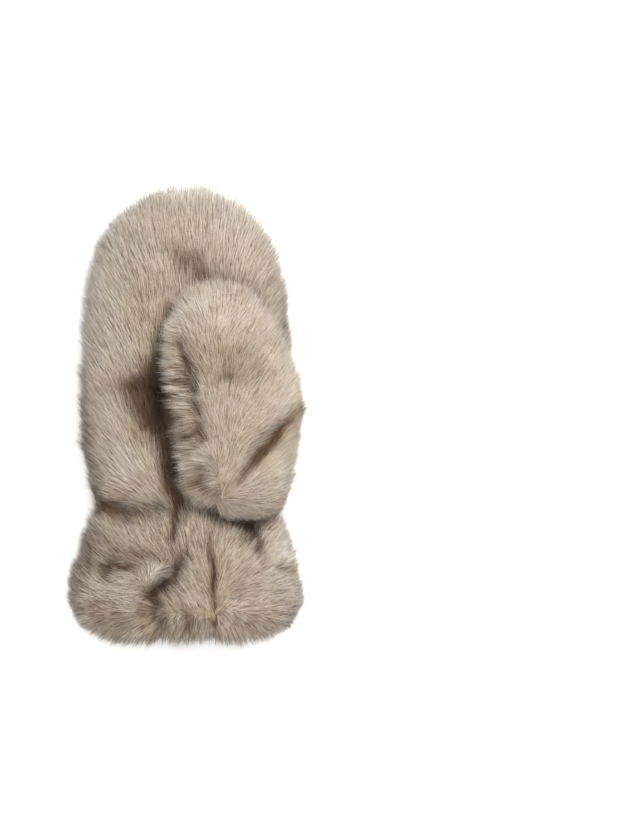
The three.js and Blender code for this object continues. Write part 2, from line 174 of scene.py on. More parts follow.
def press_underside(grid):
    """The folds of the underside, then the floor that flattens it."""
    x, y, z = grid[..., 0], grid[..., 1], grid[..., 2]
    fall = np.clip((SEAM_HEIGHT - z) / FOLD_FADE, 0, 1)
    grid[..., 2] = np.maximum(z + fall * (spread(BACK_FOLDS, x, y) + gather(x, y)), 0)


def outward(grid, closed):
    """Unit normals of a grid whose rows run to the fingertips and its columns from +X over the top."""
    along = np.gradient(grid, axis=0)
    around = (np.roll(grid, -1, 1) - np.roll(grid, 1, 1)) if closed else np.gradient(grid, axis=1)
    normal = np.cross(along, around)
    return normal / np.maximum(np.linalg.norm(normal, axis=2, keepdims=True), 1e-9)


def combed(grid, comb, base=90.0):
    """The nap over a grid: each row of a comb table, x, y, angle and reach, lays the hairs its way.

    Where neighbours lie opposite ways the nap is short, so that the pile stands up in a parting.
    """
    x, y = grid[..., 0], grid[..., 1]
    nap = np.zeros(grid.shape)
    nap[..., 0] = PLAIN_NAP * math.cos(math.radians(base))
    nap[..., 1] = PLAIN_NAP * math.sin(math.radians(base))
    total = np.full(x.shape, PLAIN_NAP)
    for comb_x, comb_y, angle, reach in comb:
        weight = np.exp(-((x - comb_x) ** 2 + (y - comb_y) ** 2) / reach**2)
        nap[..., 0] += weight * math.cos(math.radians(angle))
        nap[..., 1] += weight * math.sin(math.radians(angle))
        total += weight
    return nap / total[..., None]


def laid(grid, normal, nap, pile, stand, side=1, most=math.inf):
    """The backing under a coat of this pile, and the way its hairs point.

    The nap is given as seen from above, or from below where side is -1, and turns over the edges with the
    coat. A hair keeps the way that the coat has at its foot, so the turn comes a little late.
    """
    flat = np.array((0, 0, side))
    late = normal + LATE_TURN * flat
    late /= np.linalg.norm(late, axis=2, keepdims=True)
    fall = np.sum(nap * late, axis=2) / np.maximum(1 + side * late[..., 2], LEAST_TURN)
    way = nap - fall[..., None] * (late + flat) + np.broadcast_to(stand, nap.shape[:2])[..., None] * late
    way /= np.linalg.norm(way, axis=2, keepdims=True)
    depth = np.minimum(pile * np.sum(way * normal, axis=2), most)
    return grid - normal * depth[..., None], way


def seen(grid, way):
    """Where the hairs that end on a grid are seen the most from above: some way back from their tips."""
    return grid[..., 0] - SEEN_BACK * way[..., 0], grid[..., 1] - SEEN_BACK * way[..., 1]


def every_second(count):
    """Every second number below a count, and the last."""
    return sorted({*range(0, count, 2), count - 1})


def shell(name, outer, inner, keep=None, closed=False):
    """A closed skin between two grids, with its rims and the edges of any cells left out stitched."""
    rows, columns = every_second(outer.shape[0]), every_second(outer.shape[1])
    outer, inner = outer[rows][:, columns], inner[rows][:, columns]
    if keep is not None:
        keep = keep(outer)
    rows, columns = outer.shape[:2]
    count = rows * columns
    faces = []
    face_materials = []
    edges = {}
    for i in range(rows - 1):
        for j in range(columns if closed else columns - 1):
            if keep is not None and not keep[i, j]:
                continue
            k = (j + 1) % columns
            quad = (i * columns + j, (i + 1) * columns + j, (i + 1) * columns + k, i * columns + k)
            faces.append(quad)
            faces.append(tuple(count + corner for corner in reversed(quad)))
            face_materials += [0, 1]
            for a, b in zip(quad, quad[1:] + quad[:1]):
                if (b, a) in edges:
                    del edges[(b, a)]
                else:
                    edges[(a, b)] = True
    faces += [(b, a, count + a, count + b) for a, b in edges]
    points = np.concatenate((outer.reshape(-1, 3), inner.reshape(-1, 3))) * MM
    mesh = bpy.data.meshes.new(name)
    mesh.from_pydata(points.tolist(), [], faces)
    mesh.materials.append(UNDERWOOL_AND_SHADE)
    mesh.materials.append(KNIT)
    mesh.polygons.foreach_set("material_index", face_materials + [0] * len(edges))
    mesh.validate()
    mesh.shade_smooth()
    piece = bpy.data.objects.new(name, mesh)
    bpy.context.scene.collection.objects.link(piece)
    return piece


def linear(hex_colour):
    """A colour written as sRGB hex, in linear light."""
    channels = [int(hex_colour[i : i + 2], 16) / 255 for i in (1, 3, 5)]
    return [c / 12.92 if c <= 0.04045 else ((c + 0.055) / 1.055) ** 2.4 for c in channels] + [1.0]


def node(tree, kind, inputs=(), **settings):
    """A node with its settings, and its inputs set to values or linked to sockets."""
    made = tree.nodes.new(kind)
    for key, value in settings.items():
        setattr(made, key, value)
    for key, value in dict(inputs).items():
        if isinstance(key, int):
            socket = made.inputs[key]
        else:
            socket = next(s for s in made.inputs if s.name == key and s.enabled)
        if isinstance(value, bpy.types.NodeSocket):
            tree.links.new(value, socket)
        else:
            socket.default_value = value
    return made


def out(made, name=None):
    """A node's first output, or its first of that name."""
    return next(s for s in made.outputs if s.enabled and name in (None, s.name))


def new_material(name):
    """A node material, with its tree and its Principled shader."""
    material = bpy.data.materials.new(name)
    material.use_nodes = True
    return material, material.node_tree, material.node_tree.nodes["Principled BSDF"]


def ramp(tree, factor, stops):
    """A colour ramp through hex colours at places from 0 to 1."""
    made = node(tree, "ShaderNodeValToRGB", {"Fac": factor})
    elements = made.color_ramp.elements
    while len(elements) < len(stops):
        elements.new(0.5)
    for element, (place, colour) in zip(elements, stops):
        element.position = place
        element.color = linear(colour)
    return out(made, "Color")


# Modacrylic pile, heat-set and sheared: each hair is brown at the root and pale at the tip, with a soft
# sheen and hardly any gloss. A hair's map runs from root to tip one way, and the other way from dark to pale
# hairs in its first half, and again in its second half for those with a fleck.
def make_fur():
    WARMTH_PATCH = 32 * MM
    HUE_PATCH = 24 * MM
    SIDE_HEIGHT, TOP_HEIGHT = 16 * MM, 38 * MM
    SIDE_SATURATION, TOP_SATURATION = 0.52, 0.84
    PATCH_SATURATION = 0.4
    FLUSH_FROM, FLUSH_TO = 0.35, 0.7
    YELLOWER, REDDER = 0.511, 0.489
    material, tree, shader = new_material("modacrylic_pile")
    place = node(tree, "ShaderNodeUVMap", uv_map="hair")
    parts = node(tree, "ShaderNodeSeparateXYZ", {0: out(place)})
    along = out(parts, "Y")
    flecked = out(node(tree, "ShaderNodeMath", {0: out(parts, "X"), 1: 0.5}, operation="GREATER_THAN"))
    doubled = node(tree, "ShaderNodeMath", {0: out(parts, "X"), 1: 2.0}, operation="MULTIPLY")
    shade = out(node(tree, "ShaderNodeMath", {0: out(doubled), 1: flecked}, operation="SUBTRACT"))
    dark = ramp(tree, along, ((0.0, "#1E1208"), (0.45, "#402A17"), (1.0, "#6C4A2D")))
    middle = ramp(tree, along, ((0.0, "#5F4C3C"), (0.5, "#A8937C"), (0.85, "#CDBDAA"), (1.0, "#E3D8CA")))
    pale = ramp(tree, along, ((0.0, "#86725D"), (0.5, "#CFC0AE"), (0.85, "#EDE6DC"), (1.0, "#FBF8F3")))
    low = node(tree, "ShaderNodeMapRange", {0: shade, 1: 0.0, 2: 0.5, 3: 0.0, 4: 1.0})
    high = node(tree, "ShaderNodeMapRange", {0: shade, 1: 0.5, 2: 1.0, 3: 0.0, 4: 1.0})
    lower = node(tree, "ShaderNodeMix", {0: out(low), 6: dark, 7: middle}, data_type="RGBA")
    upper = node(tree, "ShaderNodeMix", {0: out(high), 6: lower.outputs[2], 7: pale}, data_type="RGBA")
    # A flecked hair has a dark band short of its tip, painted shade that stands for the small dark gaps
    # between locks
    gap_shade_band = ramp(tree, along, ((0.5, "#FFFFFF"), (0.64, "#7D6D60"), (0.82, "#7D6D60"), (0.94, "#FFFFFF")))
    banded = node(
        tree,
        "ShaderNodeMix",
        {0: flecked, 6: upper.outputs[2], 7: gap_shade_band},
        data_type="RGBA",
        blend_type="MULTIPLY",
    )
    # The pile is greyer down the sides, and warmer, cooler and pinker in wide patches
    coordinates = out(node(tree, "ShaderNodeTexCoord"), "Object")
    height = out(node(tree, "ShaderNodeSeparateXYZ", {0: coordinates}), "Z")
    by_height = {0: height, 1: SIDE_HEIGHT, 2: TOP_HEIGHT, 3: SIDE_SATURATION, 4: TOP_SATURATION}
    top = out(node(tree, "ShaderNodeMapRange", by_height))
    patchy = {"Vector": coordinates, "Scale": 1 / WARMTH_PATCH, "Detail": 1.5}
    patches = node(tree, "ShaderNodeTexNoise", patchy)
    saturated = {0: out(patches, "Fac"), 1: PATCH_SATURATION, 2: top}
    warmth = node(tree, "ShaderNodeMath", saturated, operation="MULTIPLY_ADD")
    flush = node(tree, "ShaderNodeTexNoise", {"Vector": coordinates, "Scale": 1 / HUE_PATCH, "Detail": 1.0})
    flushed = {0: out(flush, "Fac"), 1: FLUSH_FROM, 2: FLUSH_TO, 3: YELLOWER, 4: REDDER}
    hue = node(tree, "ShaderNodeMapRange", flushed)
    tint = {"Hue": out(hue), "Saturation": out(warmth), "Color": banded.outputs[2]}
    tinted = node(tree, "ShaderNodeHueSaturation", tint)
    tree.links.new(out(tinted), shader.inputs["Base Color"])
    shader.inputs["Roughness"].default_value = 0.7
    shader.inputs["Specular IOR Level"].default_value = 0.25
    shader.inputs["Sheen Weight"].default_value = 0.15
    return material


# Warp-knitted polyester backing: small loops in rows, dull and even. The loops are drawn a little coarser
# than the real ones, near 1 mm, so that they show.
def make_backing():
    LOOP = 1.4 * MM
    # At scale 1 a wave texture has a wave in each 0.314 m
    WAVE = 0.314
    MOTTLE = 9 * MM
    material, tree, shader = new_material("knitted_backing")
    coordinates = out(node(tree, "ShaderNodeTexCoord"), "Object")
    wales = node(tree, "ShaderNodeTexWave", {"Vector": coordinates, "Scale": WAVE / LOOP, "Distortion": 1.5})
    mottle = node(tree, "ShaderNodeTexNoise", {"Vector": coordinates, "Scale": 1 / MOTTLE, "Detail": 4.0})
    mixed = node(tree, "ShaderNodeMath", {0: out(wales, "Fac"), 1: out(mottle, "Fac")}, operation="MULTIPLY")
    colour = ramp(tree, out(mixed), ((0.0, "#4E4136"), (0.35, "#6E5F51"), (0.8, "#8B7B6B")))
    tree.links.new(colour, shader.inputs["Base Color"])
    bump = node(tree, "ShaderNodeBump", {"Height": out(wales, "Fac"), "Strength": 0.4, "Distance": 0.3 * MM})
    tree.links.new(out(bump), shader.inputs["Normal"])
    shader.inputs["Roughness"].default_value = 0.9
    return material


# Underwool: the short crimped fibres that fill the foot of the pile, matt and mottled. Its brown is darkened
# so that where the pile thins it shows as deep shade, so it is partly painted shade.
def make_underwool_and_painted_shade():
    TUFT = 1.2 * MM
    material, tree, shader = new_material("crimped_underwool_painted_shade")
    coordinates = out(node(tree, "ShaderNodeTexCoord"), "Object")
    tufts = node(tree, "ShaderNodeTexNoise", {"Vector": coordinates, "Scale": 1 / TUFT, "Detail": 3.0})
    colour = ramp(tree, out(tufts, "Fac"), ((0.3, "#4E4136"), (0.5, "#66574A"), (0.7, "#7C6C5D")))
    tree.links.new(colour, shader.inputs["Base Color"])
    bump = node(tree, "ShaderNodeBump", {"Height": out(tufts, "Fac"), "Strength": 0.6, "Distance": 0.8 * MM})
    tree.links.new(out(bump), shader.inputs["Normal"])
    shader.inputs["Roughness"].default_value = 0.95
    return material


FUR = make_fur()
UNDERWOOL_AND_SHADE = make_underwool_and_painted_shade()
KNIT = make_backing()

# The share of the pile's length that a hair's foot stands back from its tip
FOOT_SHARE = 0.86
HAIR_LENGTHS = (0.66, 1.0)
HAIR_WIDTHS = (0.65, 1.25)
HAIR_TONES = (-0.11, 0.12)
TONE_LIMITS = (0.03, 0.97)
HAIR_SPIN = 0.9
HAIR_TURN = 0.25
# Guard hairs are longer, finer and paler than the rest
GUARD_SHARE = 0.28
GUARD_LENGTH = 0.11
GUARD_THINNING = 0.48
GUARD_TONE = 0.1
DARK_SHARE = 0.12
DARK_TONE = 0.24
PATCH_SIZE = 22 * MM
PATCH_TONE = 0.5
# What a full ruffle adds to the length, pull and tone of a lock, and to the curl of its hairs
RUFFLE_LENGTH = 0.25
RUFFLE_PULL = 0.4
RUFFLE_TONE = 0.5
RUFFLE_CURL = 0.7
CURL_SIZE = 7 * MM
# A hair's map is this wide across this way of its section, so that no face's map is a bare line
MAP_WIDTH = 0.005
MAP_WAY = (0.6, 0.8)


def make_fur_tree():
    """The nodes that plant hairs on a bed: each leans the way of its comb and draws in towards its lock."""
    tree = bpy.data.node_groups.new("pile", "GeometryNodeTree")
    face = tree.interface
    face.new_socket("Geometry", in_out="INPUT", socket_type="NodeSocketGeometry")
    for name in (
        "Density",
        "Hair Width",
        "Lock Size",
        "Lock Pull",
        "Lock Length",
        "Lock Tone",
        "Wave Size",
        "Wave",
        "Jitter",
        "Flecks",
    ):
        face.new_socket(name, in_out="INPUT", socket_type="NodeSocketFloat")
    face.new_socket("Seed", in_out="INPUT", socket_type="NodeSocketInt")
    face.new_socket("Material", in_out="INPUT", socket_type="NodeSocketMaterial")
    face.new_socket("Geometry", in_out="OUTPUT", socket_type="NodeSocketGeometry")
    given = tree.nodes.new("NodeGroupInput").outputs

    def field(name, kind="FLOAT"):
        return out(node(tree, "GeometryNodeInputNamedAttribute", {"Name": name}, data_type=kind))

    def maths(operation, a, b=0.0):
        return out(node(tree, "ShaderNodeMath", {0: a, 1: b}, operation=operation))

    def vector(operation, a, b=(0, 0, 0)):
        return out(node(tree, "ShaderNodeVectorMath", {0: a, 1: b}, operation=operation))

    def scaled(a, by):
        return out(node(tree, "ShaderNodeVectorMath", {0: a, "Scale": by}, operation="SCALE"))

    def chance(low, high, salt, kind="FLOAT"):
        limits = {"Min": low, "Max": high, "Seed": maths("ADD", given["Seed"], salt)}
        return out(node(tree, "FunctionNodeRandomValue", limits, data_type=kind))

    density = maths("MULTIPLY", given["Density"], field("cover"))
    planted = node(
        tree,
        "GeometryNodeDistributePointsOnFaces",
        {"Mesh": given["Geometry"], "Density": density, "Seed": given["Seed"]},
        distribute_method="RANDOM",
    )
    # The points lie where the tips come to, so the hairs' feet are a full hair back from them
    foot = scaled(field("comb", "FLOAT_VECTOR"), maths("MULTIPLY", field("pile"), -FOOT_SHARE))
    rooted = node(tree, "GeometryNodeSetPosition", {"Geometry": out(planted, "Points"), "Offset": foot})
    place = out(node(tree, "GeometryNodeInputPosition"))
    size = maths("DIVIDE", 1.0, given["Lock Size"])
    lock = node(tree, "ShaderNodeTexVoronoi", {"Vector": place, "Scale": size})
    luck = node(tree, "ShaderNodeSeparateXYZ", {0: out(lock, "Color")})
    guard = maths("GREATER_THAN", chance(0.0, 1.0, 8), 1 - GUARD_SHARE)
    ruffle = field("ruffle")
    uneven = maths("ADD", given["Lock Length"], maths("MULTIPLY", ruffle, RUFFLE_LENGTH))
    kept = maths("ADD", chance(*HAIR_LENGTHS, 1), maths("MULTIPLY", out(luck, "X"), uneven))
    kept = maths("ADD", kept, maths("MULTIPLY", guard, GUARD_LENGTH))
    pile = maths("MULTIPLY", field("pile"), kept)
    drawn = maths("ADD", given["Lock Pull"], maths("MULTIPLY", ruffle, RUFFLE_PULL))
    pull = scaled(vector("SUBTRACT", out(lock, "Position"), place), drawn)
    half = (0.5, 0.5, 0.5)
    swell = maths("DIVIDE", 1.0, given["Wave Size"])
    waves = node(tree, "ShaderNodeTexNoise", {"Vector": place, "Scale": swell, "Detail": 1.5})
    wave = scaled(vector("SUBTRACT", out(waves, "Color"), half), maths("MULTIPLY", pile, given["Wave"]))
    jitter = chance((-1, -1, -1), (1, 1, 1), 2, "FLOAT_VECTOR")
    stray = scaled(jitter, maths("MULTIPLY", pile, given["Jitter"]))
    curls = node(tree, "ShaderNodeTexNoise", {"Vector": place, "Scale": 1 / CURL_SIZE, "Detail": 1.0})
    curled = maths("MULTIPLY", maths("MULTIPLY", pile, ruffle), RUFFLE_CURL)
    curl = scaled(vector("SUBTRACT", out(curls, "Color"), half), curled)
    straight = scaled(field("comb", "FLOAT_VECTOR"), pile)
    way = vector("ADD", vector("ADD", straight, pull), vector("ADD", wave, vector("ADD", stray, curl)))
    length = out(node(tree, "ShaderNodeVectorMath", {0: way}, operation="LENGTH"), "Value")

    turned = node(tree, "FunctionNodeAlignRotationToVector", {"Vector": way}, axis="Z")
    faced = node(
        tree,
        "FunctionNodeAlignRotationToVector",
        {"Rotation": out(turned), "Vector": out(planted, "Normal")},
        axis="X",
        pivot_axis="Z",
    )
    angle = chance(-HAIR_SPIN, HAIR_SPIN, 3)
    spin = node(tree, "FunctionNodeAxisAngleToRotation", {"Axis": (0, 0, 1), "Angle": angle})
    spun = node(
        tree,
        "FunctionNodeRotateRotation",
        {"Rotation": out(faced), "Rotate By": out(spin)},
        rotation_space="LOCAL",
    )
    width = maths("MULTIPLY", given["Hair Width"], chance(*HAIR_WIDTHS, 4))
    width = maths("MULTIPLY", width, maths("SUBTRACT", 1.0, maths("MULTIPLY", guard, GUARD_THINNING)))
    scale = node(tree, "ShaderNodeCombineXYZ", {0: width, 1: width, 2: length})

    patches = node(tree, "ShaderNodeTexNoise", {"Vector": place, "Scale": 1 / PATCH_SIZE, "Detail": 2.0})
    patch = maths("MULTIPLY", maths("SUBTRACT", out(patches, "Fac"), 0.5), PATCH_TONE)
    rare = maths("GREATER_THAN", chance(0.0, 1.0, 7), 1 - DARK_SHARE)
    varied = maths("SUBTRACT", chance(*HAIR_TONES, 5), maths("MULTIPLY", rare, DARK_TONE))
    mottle = maths("ADD", given["Lock Tone"], maths("MULTIPLY", ruffle, RUFFLE_TONE))
    locked = maths("MULTIPLY", maths("SUBTRACT", out(luck, "Y"), 0.5), mottle)
    shade = maths("ADD", maths("ADD", field("shade"), varied), maths("ADD", patch, locked))
    shade = maths("ADD", shade, maths("MULTIPLY", guard, GUARD_TONE))
    shade = out(node(tree, "ShaderNodeClamp", {0: shade, 1: TONE_LIMITS[0], 2: TONE_LIMITS[1]}))
    # A share of the hairs carry a fleck: a dark band in the material, painted shade for the gaps between
    # locks
    flecked = maths("LESS_THAN", chance(0.0, 1.0, 9), given["Flecks"])
    shade = maths("MULTIPLY", maths("ADD", shade, flecked), 0.5)
    toned = node(
        tree, "GeometryNodeStoreNamedAttribute", {"Geometry": out(rooted), "Name": "tone", "Value": shade}
    )
    # Hairs take the light as the coat does, each turned a little from its neighbours
    turn = chance((-HAIR_TURN,) * 3, (HAIR_TURN,) * 3, 6, "FLOAT_VECTOR")
    lay = vector("NORMALIZE", vector("ADD", out(planted, "Normal"), turn))
    laid = node(
        tree,
        "GeometryNodeStoreNamedAttribute",
        {"Geometry": out(toned), "Name": "lay", "Value": lay},
        data_type="FLOAT_VECTOR",
    )

    # One hair: a three-sided needle, wide at the root and pointed at the tip
    hair = node(
        tree,
        "GeometryNodeMeshCone",
        {"Vertices": 3, "Radius Top": 0.0, "Radius Bottom": 1.0, "Depth": 1.0},
        fill_type="NGON",
    )
    corner = node(tree, "ShaderNodeSeparateXYZ", {0: out(node(tree, "GeometryNodeInputPosition"))})
    across = (maths("MULTIPLY", out(corner, axis), share) for axis, share in zip("XY", MAP_WAY))
    side = maths("MULTIPLY", maths("ADD", *across), MAP_WIDTH)
    rim = node(tree, "ShaderNodeCombineXYZ", {0: side, 1: out(corner, "Z"), 2: 0.0})
    shaped = node(
        tree,
        "GeometryNodeStoreNamedAttribute",
        {"Geometry": out(hair, "Mesh"), "Name": "strip", "Value": out(rim)},
        data_type="FLOAT_VECTOR",
    )

    grown = node(
        tree,
        "GeometryNodeInstanceOnPoints",
        {"Points": out(laid), "Instance": out(shaped), "Rotation": out(spun), "Scale": out(scale)},
    )
    real = node(tree, "GeometryNodeRealizeInstances", {"Geometry": out(grown)})
    spot = node(tree, "ShaderNodeSeparateXYZ", {0: out(node(tree, "GeometryNodeInputPosition"))})
    level = maths("MAXIMUM", out(spot, "Z"), FLOOR_CLEARANCE * MM)
    lifted = node(tree, "ShaderNodeCombineXYZ", {0: out(spot, "X"), 1: out(spot, "Y"), 2: level})
    resting = node(tree, "GeometryNodeSetPosition", {"Geometry": out(real), "Position": out(lifted)})
    tone_side = node(tree, "ShaderNodeCombineXYZ", {0: field("tone"), 1: 0.0, 2: 0.0})
    hair_map = vector("ADD", out(tone_side), field("strip", "FLOAT_VECTOR"))
    stored = out(resting)
    for name in ("OFBake", "hair"):
        stored = out(
            node(
                tree,
                "GeometryNodeStoreNamedAttribute",
                {"Geometry": stored, "Name": name, "Value": hair_map},
                data_type="FLOAT2",
                domain="CORNER",
            )
        )
    even = node(tree, "GeometryNodeSetShadeSmooth", {"Geometry": stored})
    coated = tree.nodes.new("GeometryNodeSetMeshNormal")
    coated.mode = "FREE"
    tree.links.new(out(even), coated.inputs["Mesh"])
    custom = next(socket for socket in coated.inputs if socket.name == "Custom Normal")
    tree.links.new(field("lay", "FLOAT_VECTOR"), custom)
    dyed = {"Geometry": out(coated), "Material": given["Material"]}
    node(tree, "NodeGroupOutput", {"Geometry": out(node(tree, "GeometryNodeSetMaterial", dyed))})
    return tree


PILE = make_fur_tree()


def grow(name, coat, way, pile, shade, ruffle, cover, hairs, seed, closed=False, **changes):
    """Hairs whose tips come to a grid, about as many as asked for, as one plain mesh."""
    rows, columns = coat.shape[:2]
    quads = []
    for i in range(rows - 1):
        for j in range(columns if closed else columns - 1):
            k = (j + 1) % columns
            quads.append((i * columns + j, (i + 1) * columns + j, (i + 1) * columns + k, i * columns + k))
    mesh = bpy.data.meshes.new(name + "_bed")
    mesh.from_pydata((coat.reshape(-1, 3) * MM).tolist(), [], quads)
    for key, values in (("pile", pile * MM), ("shade", shade), ("ruffle", ruffle), ("cover", cover)):
        values = np.broadcast_to(values, (rows, columns)).astype(np.float32).ravel()
        mesh.attributes.new(key, "FLOAT", "POINT").data.foreach_set("value", values)
    ways = way.astype(np.float32).ravel()
    mesh.attributes.new("comb", "FLOAT_VECTOR", "POINT").data.foreach_set("vector", ways)
    corner_cover = np.broadcast_to(cover, (rows, columns)).ravel()
    planted = sum(face.area * corner_cover[list(face.vertices)].mean() for face in mesh.polygons)
    bed = bpy.data.objects.new(name + "_bed", mesh)
    bpy.context.scene.collection.objects.link(bed)
    modifier = bed.modifiers.new("pile", "NODES")
    modifier.node_group = PILE
    # The real fibre, near 0.05 mm wide, is too fine to show, so its hairs are drawn coarser
    values = {
        "Density": hairs / planted,
        "Hair Width": 0.27 * MM,
        "Lock Size": 4 * MM,
        "Lock Pull": 0.2,
        "Lock Length": 0.16,
        "Lock Tone": 0.1,
        "Wave Size": 18 * MM,
        "Wave": 0.6,
        "Jitter": 0.12,
        "Flecks": 0.1,
        "Seed": seed,
        "Material": FUR,
    }
    values.update(changes)
    for item in PILE.interface.items_tree:
        if item.in_out == "INPUT" and item.name in values:
            modifier[item.identifier] = values[item.name]
    bpy.context.view_layer.update()
    grown = bpy.data.meshes.new_from_object(bed.evaluated_get(bpy.context.evaluated_depsgraph_get()))
    grown.name = name
    for spent in ("pile", "shade", "ruffle", "cover", "comb", "id"):
        grown.attributes.remove(grown.attributes[spent])
    piece = bpy.data.objects.new(name, grown)
    bpy.context.scene.collection.objects.link(piece)
    bpy.data.objects.remove(bed)
    bpy.data.meshes.remove(mesh)
    return piece


def finish_panel(node_name, skin, fur):
    """The panel's two pieces stand for its solid and go with the one body."""
    for piece, slot in ((skin, "knit_backing"), (fur, "faux_fur")):
        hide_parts(node_name)
        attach(piece, "root")


ROUND = (UPPER_SQUARENESS, LOWER_SQUARENESS)
hand_rows = divided(HAND, FINE_CELL)
hand_rows[0][0] = WRIST_Y + WRIST_GAP
hand = np.array([arc(row, SEAM_HEIGHT, ROUND, 0, 2 * math.pi, HAND_AROUND)[:-1] for row in hand_rows])
HALF = HAND_AROUND // 2
press_underside(hand)

# Palm
# The upper panel of the hand, with the thumb's opening cut in it. Its pile lies up the hand, parted to both
# sides, and is pressed down where the thumb lies on it. Beside the thumb it folds into a deep valley.
BED_HEIGHT = 34.0
HAND_PILE = 17.0
PALM_TONE = 0.55
PALM_HAIRS = 49000
PRESSED_SHARE = 0.4
EDGE_GAP = 0.2
FRONT_FADE = 12.0
# The oval that the thumb presses and the one that it goes in by: x, y, half width, half length
THUMB_PRINT = (28.5, 8.5, 43.0, 72.0)
THUMB_OPENING = (30.0, -22.0, 21.0, 25.0)
# The print's edge, from untouched to fully pressed, in its own half sizes
PRINT_EDGE = (1.27, 0.97)
# How far inside the hidden stretch the hairs thin out to none
HIDDEN_EDGE = (0.0, 4.0)
# Columns: x, y, half length, half width, turn from +X in degrees, depth
FRONT_DENTS = (
    (6.0, 90.0, 14.0, 9.0, -40.0, 6.0),
    (-26.0, 15.0, 16.0, 9.0, -15.0, 8.5),
    (-15.0, 8.0, 26.0, 8.0, 85.0, 12.0),
    (-8.0, -25.0, 24.0, 6.0, 98.0, 7.0),
    (-42.0, -55.0, 20.0, 5.0, -10.0, 6.0),
    (-22.0, -56.0, 16.0, 4.0, -4.0, 3.0),
    (-56.0, -46.0, 12.0, 5.0, 30.0, 4.0),
    (-42.0, 38.0, 24.0, 10.0, 8.0, 2.5),
    (-10.0, 66.0, 20.0, 6.0, 80.0, 3.0),
    (-7.0, -67.0, 9.0, 3.5, 82.0, 7.0),
    (40.0, -71.0, 12.0, 6.0, -58.0, 9.0),
    (-46.0, -95.0, 7.0, 6.0, 0.0, 6.0),
    (-34.0, -90.0, 13.0, 3.0, -8.0, 4.0),
    (-18.0, -96.0, 8.0, 6.0, 50.0, -5.0),
    (-5.0, -92.0, 9.0, 4.5, 60.0, 6.0),
    (-13.0, -103.0, 11.0, 4.5, 40.0, 9.0),
    (-21.0, -113.0, 7.0, 4.5, 80.0, 4.0),
    (-58.0, -92.0, 9.0, 3.5, 85.0, 3.0),
    (58.0, -93.0, 7.0, 3.0, -15.0, 3.0),
    (17.0, -98.0, 26.0, 2.6, -86.0, 2.5),
    (28.0, -62.0, 16.0, 3.0, -14.0, 3.0),
    (-30.0, -84.0, 18.0, 5.0, -5.0, 2.0),
)
